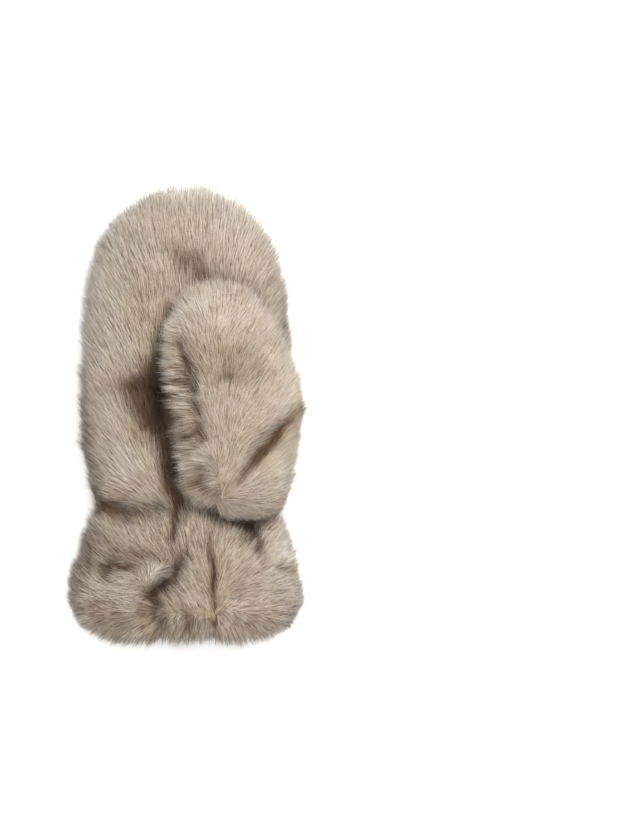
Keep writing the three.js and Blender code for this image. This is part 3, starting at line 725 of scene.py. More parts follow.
# Columns: x, y, half length, half width, turn from +X in degrees, how much darker. The darker rows are
# partly the brown roots that show where the pile parts and partly painted shade in the dents, valleys and
# creases, under the thumb's heel and down the left edge; the paler rows round the fingertips are painted
# light.
FRONT_TONES_PAINTED_SHADE_AND_LIGHT = (
    (1.0, 94.0, 12.0, 7.0, -40.0, 0.4),
    (12.0, 81.0, 20.0, 4.0, -5.0, 0.2),
    (42.0, 69.0, 16.0, 3.0, -48.0, 0.15),
    (9.0, 84.0, 10.0, 5.0, -20.0, 0.24),
    (-9.0, 60.0, 16.0, 6.0, 80.0, 0.2),
    (-28.0, 12.0, 15.0, 9.5, -12.0, 0.55),
    (-32.0, 24.0, 16.0, 9.0, 0.0, 0.16),
    (-17.5, 14.0, 25.0, 10.5, 87.0, 0.88),
    (-10.0, -22.0, 26.0, 6.5, 97.0, 0.75),
    (-7.0, -50.0, 11.0, 5.0, 120.0, 0.5),
    (-48.0, -57.0, 16.0, 5.0, -12.0, 0.66),
    (-61.0, -66.0, 10.0, 4.0, 75.0, 0.25),
    (0.0, 139.0, 40.0, 6.0, 0.0, -0.5),
    (-46.0, 121.0, 24.0, 6.0, 42.0, -0.5),
    (46.0, 121.0, 24.0, 6.0, -42.0, -0.45),
    (-55.0, -52.0, 9.0, 5.0, 20.0, 0.3),
    (-24.0, -60.0, 14.0, 3.5, -3.0, 0.3),
    (-69.0, 55.0, 45.0, 6.0, 88.0, 0.4),
    (-63.0, -12.0, 38.0, 5.5, 96.0, 0.5),
    (-45.0, 76.0, 24.0, 16.0, 90.0, -0.07),
    (-40.0, 42.0, 18.0, 10.0, 0.0, -0.19),
    (-38.0, -22.0, 24.0, 9.0, 104.0, -0.11),
    (-58.0, -46.0, 10.0, 6.0, 100.0, 0.3),
    (-38.0, 38.0, 20.0, 8.0, 10.0, 0.04),
    (60.0, 62.0, 20.0, 3.0, 95.0, 0.3),
    (52.0, 84.0, 22.0, 6.0, 108.0, 0.1),
    (-27.0, -4.0, 10.0, 8.0, 0.0, 0.15),
    (-7.0, -67.0, 9.0, 2.2, 82.0, 0.8),
    (-30.0, -84.0, 20.0, 5.0, -5.0, 0.33),
    (-46.0, -95.0, 5.0, 6.5, 0.0, 0.8),
    (-36.0, -91.5, 13.0, 1.8, -8.0, 0.8),
    (-38.0, -115.5, 22.0, 1.6, 3.0, 0.25),
    (-5.0, -92.0, 8.0, 4.0, 60.0, 0.6),
    (-13.0, -103.0, 10.0, 4.0, 40.0, 0.8),
    (-21.0, -112.0, 7.0, 4.5, 80.0, 0.5),
    (-57.0, -90.0, 9.0, 2.0, 80.0, 0.45),
    (-67.0, -95.0, 30.0, 8.0, 80.0, 0.36),
    (15.5, -76.0, 14.0, 1.6, -86.0, 0.35),
    (17.0, -100.0, 17.0, 1.6, -86.0, 0.7),
    (18.0, -116.0, 3.0, 2.2, 90.0, 0.4),
    (28.0, -62.0, 17.0, 3.0, -14.0, 0.42),
    (47.0, -63.0, 10.0, 3.0, 15.0, 0.34),
    (39.0, -72.0, 10.0, 5.5, -58.0, 0.55),
    (43.0, -80.0, 5.0, 3.0, -70.0, 0.4),
    (57.0, -93.0, 7.0, 1.8, -12.0, 0.65),
    (32.0, -98.0, 18.0, 13.0, 0.0, 0.12),
    (48.0, -125.0, 20.0, 9.0, 0.0, 0.1),
    (-40.0, -126.0, 30.0, 8.0, 0.0, 0.13),
    (5.0, -127.0, 18.0, 8.0, 0.0, 0.12),
    (-14.0, -126.0, 8.0, 3.0, 90.0, 0.25),
    (1.0, -124.0, 8.0, 3.0, 90.0, 0.22),
    (19.0, -127.0, 9.0, 2.2, 90.0, 0.35),
    (60.0, -80.0, 18.0, 8.0, 75.0, -0.3),
    (-38.0, -108.0, 13.0, 5.0, -10.0, -0.1),
    (-18.0, -96.0, 7.0, 4.0, 30.0, -0.3),
    (-35.0, -70.0, 16.0, 7.0, 0.0, -0.02),
    (-5.0, -78.0, 14.0, 8.0, 0.0, 0.05),
)
# Columns: x, y, half length, half width, turn from +X in degrees, how ruffled
FRONT_RUFFLES = (
    (-14.0, -98.0, 14.0, 10.0, 40.0, 0.35),
    (-40.0, -94.0, 16.0, 8.0, 0.0, 0.5),
    (-30.0, -121.0, 40.0, 8.0, 0.0, 0.45),
    (10.0, -121.0, 24.0, 8.0, 0.0, 0.45),
    (50.0, -121.0, 20.0, 7.0, 0.0, 0.25),
    (40.0, -76.0, 10.0, 8.0, -60.0, 0.6),
    (56.0, -92.0, 9.0, 6.0, 0.0, 0.6),
    (-20.0, 12.0, 16.0, 20.0, 0.0, 0.4),
    (2.0, 92.0, 12.0, 9.0, -40.0, 0.3),
    (-50.0, -56.0, 14.0, 8.0, 0.0, 0.4),
)
# Columns: x, y, angle of the nap from +X in degrees, reach
FRONT_COMB = (
    (-58.0, 105.0, 118.0, 22.0),
    (-64.0, 70.0, 112.0, 18.0),
    (-64.0, 35.0, 116.0, 18.0),
    (-62.0, 0.0, 124.0, 16.0),
    (-58.0, -28.0, 132.0, 14.0),
    (-45.0, -48.0, 150.0, 13.0),
    (-25.0, -50.0, 140.0, 10.0),
    (-14.0, -42.0, 112.0, 9.0),
    (-12.0, -15.0, 96.0, 10.0),
    (-32.0, -20.0, 118.0, 14.0),
    (-30.0, 15.0, 108.0, 14.0),
    (-40.0, 48.0, 106.0, 16.0),
    (-14.0, 35.0, 98.0, 12.0),
    (-18.0, 70.0, 98.0, 16.0),
    (-30.0, 105.0, 104.0, 18.0),
    (0.0, 125.0, 92.0, 18.0),
    (25.0, 120.0, 82.0, 16.0),
    (50.0, 108.0, 64.0, 18.0),
    (60.0, 80.0, 66.0, 14.0),
    (62.0, 50.0, 70.0, 14.0),
    (20.0, 90.0, 88.0, 14.0),
    (0.0, 95.0, 96.0, 12.0),
    (64.0, 10.0, 60.0, 14.0),
    (-62.0, -72.0, 118.0, 14.0),
    (-45.0, -70.0, 122.0, 14.0),
    (-22.0, -70.0, 118.0, 12.0),
    (-2.0, -72.0, 100.0, 10.0),
    (8.0, -78.0, 108.0, 10.0),
    (8.0, -98.0, 122.0, 10.0),
    (-64.0, -95.0, 122.0, 10.0),
    (-45.0, -84.0, 150.0, 10.0),
    (-25.0, -84.0, 150.0, 9.0),
    (-40.0, -94.0, 178.0, 7.0),
    (-52.0, -105.0, 158.0, 9.0),
    (-38.0, -110.0, 185.0, 9.0),
    (-20.0, -94.0, 60.0, 6.0),
    (-11.0, -92.0, 5.0, 5.0),
    (-12.0, -108.0, 135.0, 7.0),
    (0.0, -108.0, 125.0, 8.0),
    (12.0, -110.0, 130.0, 7.0),
    (22.0, -75.0, 75.0, 9.0),
    (31.0, -75.0, 65.0, 9.0),
    (38.0, -87.0, 50.0, 9.0),
    (28.0, -96.0, 60.0, 8.0),
    (25.0, -108.0, 35.0, 6.0),
    (40.0, -104.0, 20.0, 9.0),
    (56.0, -108.0, 358.0, 9.0),
    (55.0, -97.0, 25.0, 8.0),
    (52.0, -75.0, 55.0, 9.0),
    (62.0, -78.0, 50.0, 9.0),
    (62.0, -90.0, 35.0, 8.0),
    (40.0, -115.0, 345.0, 8.0),
    (-62.0, -122.0, 195.0, 10.0),
    (-45.0, -126.0, 202.0, 10.0),
    (-28.0, -124.0, 208.0, 9.0),
    (-10.0, -126.0, 240.0, 8.0),
    (5.0, -126.0, 262.0, 8.0),
    (14.0, -124.0, 250.0, 6.0),
    (23.0, -126.0, 285.0, 7.0),
    (35.0, -127.0, 308.0, 9.0),
    (50.0, -124.0, 332.0, 9.0),
    (65.0, -120.0, 350.0, 9.0),
)
# Columns: y, left and right edge of the stretch that the thumb lies on and no eye can see
UNDER_THUMB = (
    (-48.0, 30.0, 30.0),
    (-38.0, 12.0, 48.0),
    (-10.0, 1.0, 60.0),
    (20.0, -3.0, 58.0),
    (45.0, -1.0, 46.0),
    (60.0, 5.0, 36.0),
    (70.0, 20.0, 24.0),
)


def off_middle(oval, x, y):
    """How far out of an oval a place is: 0 at its middle and 1 on its edge."""
    return np.hypot((x - oval[0]) / oval[2], (y - oval[1]) / oval[3])


def thumb_cover(x, y):
    """How far a place on the palm is pressed down by the thumb, from 0 to 1."""
    return fade(off_middle(THUMB_PRINT, x, y), PRINT_EDGE)


def out_of_sight(x, y):
    """Where the thumb hides the palm for good, from 0 to 1."""
    place, left, right = np.array(UNDER_THUMB).T
    inside = np.minimum(x - np.interp(y, place, left), np.interp(y, place, right) - x)
    return fade(inside, HIDDEN_EDGE) * (y > place[0]) * (y < place[-1])


def press_front(grid):
    """The valleys, creases and dents of the upper side, and the gathers at the wrist."""
    x, y, z = grid[..., 0], grid[..., 1], grid[..., 2]
    rise = np.clip((z - SEAM_HEIGHT) / FRONT_FADE, 0, 1)
    grid[..., 2] = z - rise * (spread(FRONT_DENTS, x, y) + gather(x, y))


press_front(hand)
hand[..., 2] -= thumb_cover(hand[..., 0], hand[..., 1]) * np.maximum(hand[..., 2] - BED_HEIGHT, 0)

hand_out = outward(hand, closed=True)
upper = hand[:, : HALF + 1]
lower = np.concatenate((hand[:, HALF:], hand[:, :1]), axis=1)
upper_out = hand_out[:, : HALF + 1]
lower_out = np.concatenate((hand_out[:, HALF:], hand_out[:, :1]), axis=1)

pressed = thumb_cover(upper[..., 0], upper[..., 1])
palm_pile = HAND_PILE * (1 - PRESSED_SHARE * pressed)
palm_roots, palm_way = laid(upper, upper_out, combed(upper, FRONT_COMB), palm_pile, STAND)
palm_roots[..., 2] = np.maximum(palm_roots[..., 2], SEAM_HEIGHT + EDGE_GAP)


def beside_opening(grid):
    """Which cells of the palm lie outside the oval that the thumb goes in by."""
    cells = (grid[:-1, :-1] + grid[1:, 1:]) / 2
    return off_middle(THUMB_OPENING, cells[..., 0], cells[..., 1]) > 1


palm_skin = shell("hand_palm_backing", palm_roots, palm_roots - BACKING * upper_out, beside_opening)
# The palm's tone takes the painted shade and painted light of the front's table
palm_fur = grow(
    "hand_palm_fur",
    upper,
    palm_way,
    palm_pile,
    PALM_TONE - spread(FRONT_TONES_PAINTED_SHADE_AND_LIGHT, *seen(upper, palm_way)),
    spread(FRONT_RUFFLES, *seen(upper, palm_way)),
    1 - out_of_sight(upper[..., 0], upper[..., 1]),
    PALM_HAIRS,
    seed=11,
)
finish_panel("hand_palm", palm_skin, palm_fur)

# Back of the hand
# The lower panel, one plain piece of the same fur. The mitten rests on it, so its pile lies flat against the
# floor, and what shows from above is the rim round the fingertips, made paler with painted light, and the
# left edge, made darker with painted shade.
BACK_TONE = 0.5
BACK_HAIRS = 38000
RIM_PAINTED_LIGHT = 0.45
RIM_FROM_Y = (60.0, 100.0)
RIM_FROM_Z = (6.0, 16.0)
EDGE_PAINTED_SHADE = 0.3
EDGE_FROM_X = (-56.0, -66.0)
EDGE_FROM_Y = (80.0, 40.0)
# Columns as in the palm's comb
BACK_COMB = (
    (-60.0, 60.0, 112.0, 40.0),
    (60.0, 60.0, 68.0, 40.0),
)
back_roots, back_way = laid(lower, lower_out, combed(lower, BACK_COMB), HAND_PILE, STAND, side=-1)
back_roots[..., 2] = np.minimum(back_roots[..., 2], SEAM_HEIGHT - EDGE_GAP)
back_skin = shell("hand_back_backing", back_roots, back_roots - BACKING * lower_out)
# Painted light makes the rim round the fingertips paler high on the sides, and painted shade darkens the
# left edge
painted_light_rim = fade(lower[..., 1], RIM_FROM_Y) * fade(lower[..., 2], RIM_FROM_Z)
painted_shade_edge = fade(lower[..., 0], EDGE_FROM_X) * fade(lower[..., 1], EDGE_FROM_Y)
back_tone_and_painted_light = BACK_TONE + RIM_PAINTED_LIGHT * painted_light_rim - EDGE_PAINTED_SHADE * painted_shade_edge
back_fur = grow("hand_back_fur", lower, back_way, HAND_PILE, back_tone_and_painted_light, 0.0, 1.0, BACK_HAIRS, seed=12)
finish_panel("hand_back", back_skin, back_fur)

# Thumb
# Two panels of the same fur: the inner one lies on the palm and wraps up its left side, and the outer one is
# sewn to it along a line that runs down the left of the thumb, then goes on into the palm at its heel.
THUMB_SQUARENESS = (2.4, 2.4)
# Where the thumb is too flat for its seam to run at this height, it runs just above the middle
THUMB_MIDDLE = 47.0
SEAM_LIFT = 2.0
THUMB_CLEARANCE = 1.0
THUMB_PILE = 15.0
THUMB_TONE = 0.51
THUMB_AROUND = 70
# Below the first y the panels are sewn to the palm, at these heights, and above the second they close
FREE_FROM_Y = (-6.0, 14.0)
OUTER_FOOT = 27.0
INNER_FOOT = 33.0
HEEL_STRIP_Y = -56.0
GROOVE_DEPTH = 4.0
GROOVE_WIDTH = 4.0
GROOVE_UPPER_END = (50.0, 40.0)
GROOVE_LOWER_END = (-25.0, 15.0)
# The height from which the thumb's own dents and groove are pressed in, and where they are whole
DENTED_FROM = (46.0, 56.0)
# Where it faces down, the thumb lies on the palm: its pile is pressed and few hairs are needed
LYING_FROM = (44.0, 38.0)
LYING_SHARE = 0.6
UNSEEN_FACING = (-0.3, -0.7)
UNSEEN_SHARE = 0.9
# The backing stays inside this stretch of y, and no deeper than this share of the thumb's half thickness
THUMB_CORE = (-55.0, 72.0)
DEEPEST_SHARE = 0.5
# A seam comes no nearer to the edge of a section than this share of the half width or height
NEAREST_EDGE = 0.97
# Columns: y, left edge, right edge, crown, sole
THUMB = (
    (-63.0, 33.0, 37.0, 44.0, 42.0),
    (-60.5, 20.0, 49.0, 48.5, 36.0),
    (-54.5, 7.0, 57.5, 53.0, 30.0),
    (-45.0, 1.5, 61.8, 57.5, 25.0),
    (-33.0, -0.5, 64.8, 61.5, 22.0),
    (-15.0, -3.5, 68.2, 65.0, 20.0),
    (3.0, -6.2, 70.8, 65.5, 24.0),
    (20.0, -8.8, 68.4, 65.0, 34.3),
    (38.0, -12.4, 62.8, 64.0, 34.3),
    (54.0, -10.0, 54.0, 62.0, 34.3),
    (66.0, -4.8, 46.8, 58.5, 35.5),
    (73.5, 3.5, 40.0, 54.0, 38.5),
    (77.8, 13.0, 33.0, 50.0, 42.5),
    (79.0, 21.0, 27.0, 47.5, 45.5),
)
# Columns of these tables as in the palm's
THUMB_DENTS = (
    (51.0, -16.0, 20.0, 4.5, 52.0, 8.0),
    (25.0, 22.0, 6.0, 4.0, 10.0, 3.0),
    (9.0, -38.0, 5.0, 4.0, 40.0, 3.0),
    (3.0, -18.0, 8.0, 3.0, -70.0, 3.0),
)
# The thumb's darker places are partly brown roots where the pile parts and partly painted shade in the
# crease, between the strip's tufts and under the heel; the paler rows on the strip's tufts are painted
# light.
THUMB_TONES_PAINTED_SHADE_AND_LIGHT = (
    (1.0, 33.0, 11.0, 2.4, -68.0, 0.6),
    (-5.0, 42.0, 6.0, 1.8, -5.0, 0.4),
    (6.0, 12.0, 15.0, 2.6, -82.0, 0.5),
    (8.0, -8.0, 8.0, 3.0, -80.0, 0.3),
    (1.0, 25.0, 14.0, 2.2, -78.0, 0.4),
    (-10.5, 31.0, 12.0, 6.0, -80.0, -0.44),
    (-6.0, 8.0, 15.0, 6.0, -82.0, -0.46),
    (-13.0, 35.5, 7.0, 2.1, -14.0, 1.0),
    (-11.0, 27.0, 7.5, 2.0, 4.0, 1.1),
    (-9.0, 20.0, 8.0, 2.2, -10.0, 1.2),
    (-8.0, 12.0, 7.0, 2.0, 8.0, 1.1),
    (-6.0, 4.5, 7.0, 2.2, -12.0, 1.2),
    (-5.0, -3.0, 7.0, 2.2, 10.0, 1.0),
    (65.0, 16.0, 18.0, 5.0, 95.0, -0.18),
    (22.0, 66.0, 20.0, 9.0, 0.0, -0.06),
    (0.0, -4.0, 12.0, 4.0, -80.0, 0.2),
    (26.0, 22.0, 4.5, 3.0, 20.0, 0.3),
    (18.0, 20.5, 6.0, 1.8, 0.0, 0.2),
    (51.0, -18.0, 28.0, 2.9, 50.5, 1.0),
    (58.0, -32.0, 20.0, 8.0, 70.0, -0.16),
    (34.0, 24.0, 26.0, 18.0, 0.0, 0.16),
    (9.0, -38.0, 4.0, 3.0, 40.0, 0.35),
    (14.0, -43.0, 8.0, 2.4, -40.0, 0.25),
    (2.0, -15.0, 6.0, 5.0, 0.0, 0.2),
    (10.0, -12.0, 8.0, 6.0, 90.0, 0.15),
    (-7.0, -22.0, 20.0, 5.0, 95.0, 0.55),
    (10.0, -57.0, 16.0, 3.0, -20.0, 0.35),
    (6.0, 68.0, 14.0, 9.0, 0.0, -0.2),
    (-7.0, 56.0, 7.0, 9.0, 0.0, -0.18),
    (-14.0, 28.0, 24.0, 3.5, 88.0, -0.35),
    (6.0, -28.0, 8.0, 5.0, 40.0, -0.15),
    (60.0, -38.0, 16.0, 8.0, 60.0, -0.1),
    (60.0, 30.0, 18.0, 6.0, 110.0, -0.06),
)
THUMB_RUFFLES = (
    (-4.0, 20.0, 34.0, 9.0, -84.0, 1.0),
    (7.0, 8.0, 26.0, 6.0, -84.0, 0.8),
    (6.0, -32.0, 18.0, 9.0, -70.0, 1.0),
    (16.0, -46.0, 12.0, 6.0, -30.0, 0.8),
)
# Columns: y, x of the seam seen from above
THUMB_SEAM = ((-70, 26), (-46, 16), (-33, 12), (-3, 6.6), (20, 3), (44, -3), (62, -1), (90, 0))
THUMB_COMB = (
    (10.0, -52.0, 222.0, 7.0),
    (22.0, -58.0, 300.0, 6.0),
    (35.0, -60.0, 330.0, 7.0),
    (48.0, -57.0, 5.0, 8.0),
    (40.0, -48.0, 20.0, 9.0),
    (57.0, -50.0, 35.0, 9.0),
    (60.0, -30.0, 45.0, 10.0),
    (48.0, -36.0, 38.0, 9.0),
    (64.0, -10.0, 40.0, 9.0),
    (45.0, -12.0, 42.0, 10.0),
    (62.0, 12.0, 55.0, 10.0),
    (45.0, 15.0, 52.0, 11.0),
    (60.0, 32.0, 66.0, 9.0),
    (48.0, 45.0, 55.0, 10.0),
    (32.0, 60.0, 65.0, 10.0),
    (18.0, 72.0, 92.0, 9.0),
    (2.0, 68.0, 120.0, 8.0),
    (22.0, 40.0, 80.0, 10.0),
    (10.0, 38.0, 118.0, 8.0),
    (12.0, 18.0, 105.0, 9.0),
    (26.0, 10.0, 75.0, 9.0),
    (12.0, -5.0, 120.0, 8.0),
    (22.0, -15.0, 80.0, 9.0),
    (12.0, -28.0, 150.0, 7.0),
    (28.0, -35.0, 60.0, 9.0),
    (14.0, -42.0, 200.0, 6.0),
)
THUMB_STRIP_COMB = (
    (-4.0, 60.0, 150.0, 8.0),
    (-9.0, 48.0, 165.0, 8.0),
    (-12.0, 35.0, 178.0, 8.0),
    (-10.0, 20.0, 182.0, 8.0),
    (-8.0, 5.0, 180.0, 8.0),
    (-5.0, -12.0, 195.0, 8.0),
    (-2.0, -28.0, 185.0, 8.0),
    (0.0, -42.0, 200.0, 8.0),
    (10.0, -55.0, 225.0, 8.0),
)
seam_y, seam_x = np.array(THUMB_SEAM, dtype=float).T


def angle_on(row, seam, side_x=None, level=None):
    """The angle of a section where it passes a place across, on its upper half, or a level, on its lower."""
    power = THUMB_SQUARENESS[0] / 2
    middle, half = (row[1] + row[2]) / 2, (row[2] - row[1]) / 2
    if side_x is not None:
        share = np.clip((side_x - middle) / half, -NEAREST_EDGE, NEAREST_EDGE)
        return math.acos(np.sign(share) * abs(share) ** power)
    share = np.clip((seam - level) / (seam - row[4]), 0.0, NEAREST_EDGE)
    return -math.asin(share**power)


def thumb_sections(rows, outer):
    """Half of the thumb, cut at its seam: over the top and down the right side, or round the other way."""
    sections = []
    for row in rows:
        seam = min(THUMB_MIDDLE, (row[3] + row[4]) / 2 + SEAM_LIFT)
        seam_angle = angle_on(row, seam, side_x=np.interp(row[0], seam_y, seam_x))
        free = float(fade(row[0], FREE_FROM_Y))
        if outer:
            start = angle_on(row, seam, level=max(OUTER_FOOT, row[4])) * (1 - free)
            stop = seam_angle
        else:
            start = seam_angle
            fixed = math.pi - angle_on(row, seam, level=INNER_FOOT)
            stop = fixed + (2 * math.pi - fixed) * free
        sections.append(arc(row, seam, THUMB_SQUARENESS, start, stop, THUMB_AROUND))
    grid = np.array(sections)
    x, y, z = grid[..., 0], grid[..., 1], grid[..., 2]
    rise = np.clip((z - DENTED_FROM[0]) / (DENTED_FROM[1] - DENTED_FROM[0]), 0, 1)
    aside = (x - np.interp(y, seam_y, seam_x)) / GROOVE_WIDTH
    groove = GROOVE_DEPTH * np.exp(-(aside**2)) * fade(y, GROOVE_UPPER_END) * fade(y, GROOVE_LOWER_END)
    grid[..., 2] = z - rise * (spread(THUMB_DENTS, x, y) + groove)
    return grid


def grow_thumb_panel(node_name, outer, comb, hairs, seed):
    """One panel of the thumb, the outer or the inner."""
    rows = np.array([row for row in divided(THUMB, FINE_CELL) if outer or row[0] >= HEEL_STRIP_Y])
    grid = thumb_sections(rows, outer)
    normal = outward(grid, closed=False)
    lying = fade(grid[..., 2], LYING_FROM) * (normal[..., 2] < 0)
    pile = THUMB_PILE * (1 - LYING_SHARE * lying)
    half = np.minimum(rows[:, 2] - rows[:, 1], rows[:, 3] - rows[:, 4]) / 2
    roots, way = laid(grid, normal, combed(grid, comb), pile, STAND, most=DEEPEST_SHARE * half[:, None])
    roots[..., 1] = np.clip(roots[..., 1], *THUMB_CORE)
    roots[..., 2] = np.maximum(roots[..., 2], BED_HEIGHT + THUMB_CLEARANCE)
    skin = shell(node_name + "_backing", roots, roots - BACKING * normal)
    # The panel's tone, with the painted shade and painted light of the thumb's table
    tone = THUMB_TONE - spread(THUMB_TONES_PAINTED_SHADE_AND_LIGHT, *seen(grid, way))
    cover = 1 - UNSEEN_SHARE * fade(normal[..., 2], UNSEEN_FACING)
    ruffle = spread(THUMB_RUFFLES, *seen(grid, way))
    fur = grow(node_name + "_fur", grid, way, pile, tone, ruffle, cover, hairs, seed)
    finish_panel(node_name, skin, fur)


grow_thumb_panel("thumb_outer", True, THUMB_COMB, hairs=42000, seed=21)
grow_thumb_panel("thumb_inner", False, THUMB_STRIP_COMB, hairs=13000, seed=22)

# Cuff
# It flares from the gathered wrist and is cut from the fur in three: a back panel, and two in front that
# meet in a seam, which goes on from the thumb's. The elastic's pull creases the left one and leaves a swirl.
CUFF_PILE = 15.0
CUFF_TONE = 0.52
# More of the cuff's hairs carry the flecks' painted shade
CUFF_FLECKS = 0.28
MOUTH_Y = -112.0
# Near the mouth the hairs stand up more, so that they meet those of the hem
MOUTH_STAND = 0.6
MOUTH_REACH = 6.0
# How far up a place has to face to take the front's tones, with their painted shade and light, and ruffles
# in full
FRONT_FACING = 0.5
# Columns: y, left edge, right edge, crown, sole
CUFF = (
    (-58.5, -57.0, 58.0, 38.0, 0.0),
    (-68.0, -60.6, 60.0, 40.5, -1.5),
    (-82.5, -65.4, 64.8, 43.5, -2.0),
    (-97.0, -69.6, 69.0, 45.0, -2.0),
    (-112.0, -71.2, 70.4, 46.0, -2.0),
)
# The seam in front: y at two places, and x there
CUFF_SEAM_Y = (-130.0, -40.0)
CUFF_SEAM_X = (18.5, 12.5)


def upper_angle(row, across):
    """The angle at which the upper half of a cuff section passes a place across."""
    share = (across - (row[1] + row[2]) / 2) / ((row[2] - row[1]) / 2)
    return math.acos(np.sign(share) * abs(share) ** (UPPER_SQUARENESS / 2))


def grow_cuff_panel(node_name, start, stop, columns, hairs, seed):
    """One cuff panel between two angles, each a number or the seam."""
    rows = divided(CUFF, FINE_CELL)[::-1]
    rows[-1][0] = WRIST_Y - WRIST_GAP
    sections = []
    for row in rows:
        seam_angle = upper_angle(row, np.interp(row[0], CUFF_SEAM_Y, CUFF_SEAM_X))
        ends = [seam_angle if end == "seam" else end for end in (start, stop)]
        sections.append(arc(row, SEAM_HEIGHT, ROUND, ends[0], ends[1], columns))
    grid = np.array(sections)
    press_underside(grid)
    press_front(grid)
    normal = outward(grid, closed=False)
    under = start == math.pi
    nap = combed(grid, BACK_COMB if under else FRONT_COMB)
    stand = STAND + MOUTH_STAND * np.exp(-(((grid[..., 1] - MOUTH_Y) / MOUTH_REACH) ** 2))
    roots, way = laid(grid, normal, nap, CUFF_PILE, stand, side=-1 if under else 1)
    skin = shell(node_name + "_backing", roots, roots - BACKING * normal)
    front = np.clip(normal[..., 2] / FRONT_FACING, 0, 1)
    # Where it faces up, the cuff's tone takes the front's painted shade and painted light
    tone = CUFF_TONE - spread(FRONT_TONES_PAINTED_SHADE_AND_LIGHT, *seen(grid, way)) * front
    ruffle = spread(FRONT_RUFFLES, *seen(grid, way)) * front
    fur = grow(node_name + "_fur", grid, way, CUFF_PILE, tone, ruffle, 1.0, hairs, seed, Flecks=CUFF_FLECKS)
    finish_panel(node_name, skin, fur)


grow_cuff_panel("cuff_palm_left", "seam", math.pi, columns=34, hairs=23000, seed=31)
grow_cuff_panel("cuff_palm_right", 0.0, "seam", columns=24, hairs=16000, seed=32)
grow_cuff_panel("cuff_back", math.pi, 2 * math.pi, columns=44, hairs=15000, seed=33)

# Hem
# The fur at the cuff's mouth is turned in and its pile stands out all round, down and to both sides, so that
# it makes a soft roll with a wavy edge. Inside, the turned edge lies against the knitted backing.
HEM_WALL = 15.0
HEM_DEPTH = 28.0
HEM_TONE = 0.54
HEM_RUFFLE = 0.15
HEM_HAIRS = 38000
HEM_AROUND = 110
# The hem is less deep towards the corners: its half width, and the most that it loses, before the root
HEM_HALF = 71.0
CORNER_LOSS = 0.93
# The share of the front's dents that the inner skin follows
LINING_DENTS = 0.6
# The hem's backing is its outline drawn in to this share, but its collar rises to the cuff's own backing
HEM_CORE = 0.4
COLLAR_SHARE = 0.95
INNER_COLLAR = (1.0, 0.85)
BACKING_SHARE = 0.7
# How far the hairs lean the way of the nap, less towards the corners
HEM_LEAN = 11.0
LEAN_FROM_X = (76.0, 62.0)
# Few hairs are needed on the inner turns
INNER_TURNS = 4
INNER_COVER = 0.25
# Columns: x, half width, depth
MOUTH_NOTCHES = ((-12.0, 9.0, 3.0), (18.0, 8.0, 3.5))
# Columns: share of the way from the outer to the inner skin, puff, share of the depth
HEM_PROFILE = (
    (0.0, 0.0, -0.12),
    (0.0, 0.3, 0.05),
    (0.0, 0.6, 0.25),
    (0.03, 0.4, 0.48),
    (0.1, 0.0, 0.64),
    (0.18, 0.0, 0.78),
    (0.3, 0.0, 0.91),
    (0.5, 0.0, 1.0),
    (0.72, 0.0, 0.9),
    (0.88, 0.0, 0.7),
    (0.96, 0.0, 0.45),
    (1.0, 0.0, 0.2),
    (1.0, 0.0, -0.12),
)


def hem_depth(x):
    """How far the hem reaches below its upper edge, less at the corners and in the notches."""
    depth = HEM_DEPTH * np.sqrt(1 - np.minimum(CORNER_LOSS, np.abs(x / HEM_HALF) ** 4))
    for notch_x, wide, deep in MOUTH_NOTCHES:
        depth -= deep * np.exp(-(((x - notch_x) / wide) ** 2))
    return depth


rim_row = between(CUFF, len(CUFF) - 1)
rim_row[0] = MOUTH_Y
inner_row = rim_row + np.array((0, HEM_WALL, -HEM_WALL, -HEM_WALL, HEM_WALL))
rim = arc(rim_row, SEAM_HEIGHT, ROUND, 0, 2 * math.pi, HEM_AROUND)[None, :-1]
flat_rim = rim.copy()
press_underside(rim)
press_front(rim)
lining = arc(inner_row, SEAM_HEIGHT, ROUND, 0, 2 * math.pi, HEM_AROUND)[:-1]
lining[:, 2] += (rim - flat_rim)[0, :, 2] * LINING_DENTS
puff_way = rim[0] - lining
puff_way /= np.linalg.norm(puff_way, axis=1, keepdims=True)
turns = []
for across, puff, drop in HEM_PROFILE:
    turn = rim[0] * (1 - across) + lining * across + puff * puff_way
    turn[:, 1] = MOUTH_Y - (hem_depth(turn[:, 0]) if drop > 0 else HEM_DEPTH) * drop
    turn[:, 2] = np.maximum(turn[:, 2], 0)
    turns.append(turn)
hem = np.array(turns)[::-1]
hem_nap = combed(hem, FRONT_COMB, base=270.0)
hem_core = hem.mean(axis=0, keepdims=True)
hem_lean = HEM_LEAN * fade(np.abs(hem[..., 0]), LEAN_FROM_X)
hem_hair = (hem - hem_core) * (1 - HEM_CORE) + hem_nap * hem_lean[..., None]
hem_length = np.linalg.norm(hem_hair, axis=2)
hem_way = hem_hair / hem_length[..., None]
hem_front = hem[..., 2] > SEAM_HEIGHT
# The front of the hem takes the front's tones, with their painted shade
hem_tone_and_painted_shade = HEM_TONE - spread(FRONT_TONES_PAINTED_SHADE_AND_LIGHT, *seen(hem, hem_way)) * hem_front
hem_share = np.full_like(hem, HEM_CORE)
hem_share[..., 1] += (COLLAR_SHARE - HEM_CORE) * (hem[..., 1] > hem_core[..., 1])
hem_share[0] = INNER_COLLAR[0]
hem_share[1] = INNER_COLLAR[1]
hem_lining = hem_core + (hem - hem_core) * hem_share
hem_inner = hem_core + (hem_lining - hem_core) * BACKING_SHARE
hem_skin = shell("cuff_hem_backing", hem_lining, hem_inner, closed=True)
hem_ruffle = HEM_RUFFLE + spread(FRONT_RUFFLES, *seen(hem, hem_way)) * hem_front
hem_cover = np.where(np.arange(len(HEM_PROFILE))[:, None] < INNER_TURNS, INNER_COVER, 1.0)
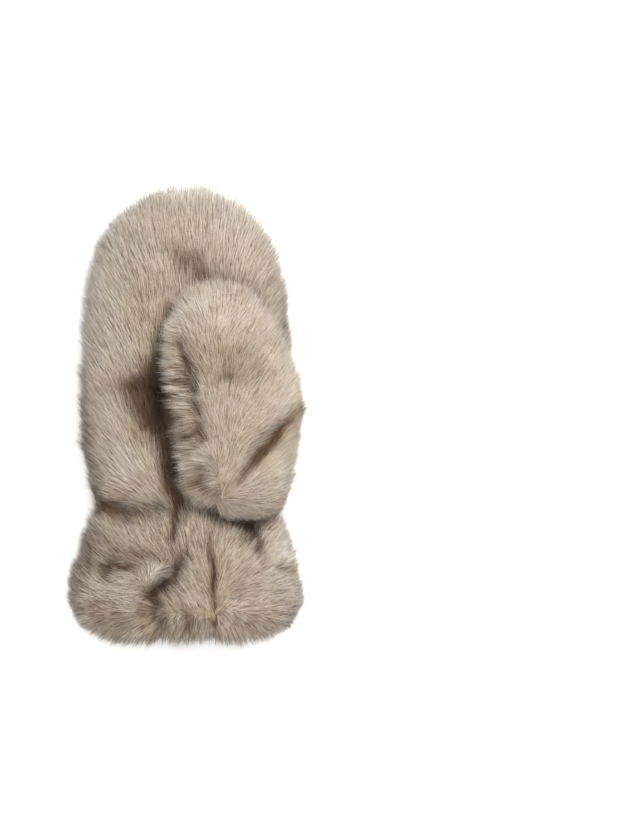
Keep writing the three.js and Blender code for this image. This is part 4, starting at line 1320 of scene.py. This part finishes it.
# The hem's hairs carry more of the flecks' painted shade than the hand's
hem_fur = grow(
    "cuff_hem_fur",
    hem,
    hem_way,
    hem_length,
    hem_tone_and_painted_shade,
    hem_ruffle,
    hem_cover,
    HEM_HAIRS,
    seed=41,
    closed=True,
    **{"Flecks": 0.34, "Lock Length": 0.06, "Lock Pull": 0.12, "Jitter": 0.07},
)
finish_panel("cuff_hem", hem_skin, hem_fur)

# Floor and light
# A plain white light table, with one large soft light high on the right and a bright even surround.
FLOOR_HALF = 4.0
floor_mesh = bpy.data.meshes.new("floor")
floor_corners = [(FLOOR_HALF * a, FLOOR_HALF * b, 0) for a, b in ((-1, -1), (1, -1), (1, 1), (-1, 1))]
floor_mesh.from_pydata(floor_corners, [], [(0, 1, 2, 3)])
floor = bpy.data.objects.new("floor", floor_mesh)
bpy.context.scene.collection.objects.link(floor)
# Uncoated white paper, lit a little from below, so that only the mitten's own shadow shows on it
paper, _, paper_shader = new_material("white_paper")
paper_shader.inputs["Base Color"].default_value = linear("#F4F3F1")
paper_shader.inputs["Roughness"].default_value = 0.9
paper_shader.inputs["Emission Color"].default_value = (1, 1, 1, 1)
paper_shader.inputs["Emission Strength"].default_value = 0.3
floor_mesh.materials.append(paper)


def add_area_light(name, place, size, power):
    """A round light that faces the middle of the mitten."""
    data = bpy.data.lights.new(name, "AREA")
    data.shape = "DISK"
    data.size = size
    data.energy = power
    light = bpy.data.objects.new(name, data)
    light.location = place
    light.rotation_euler = (-Vector(place)).to_track_quat("-Z", "Y").to_euler()
    bpy.context.scene.collection.objects.link(light)


add_area_light("key", place=(0.7, 0.75, 1.5), size=0.9, power=34)
add_area_light("fill", place=(-1.0, -0.4, 1.3), size=1.2, power=10)
world = bpy.data.worlds.new("surround")
world.use_nodes = True
world.node_tree.nodes["Background"].inputs["Color"].default_value = (1, 1, 1, 1)
world.node_tree.nodes["Background"].inputs["Strength"].default_value = 0.75
bpy.context.scene.world = world
bpy.context.scene.view_settings.view_transform = "Standard"
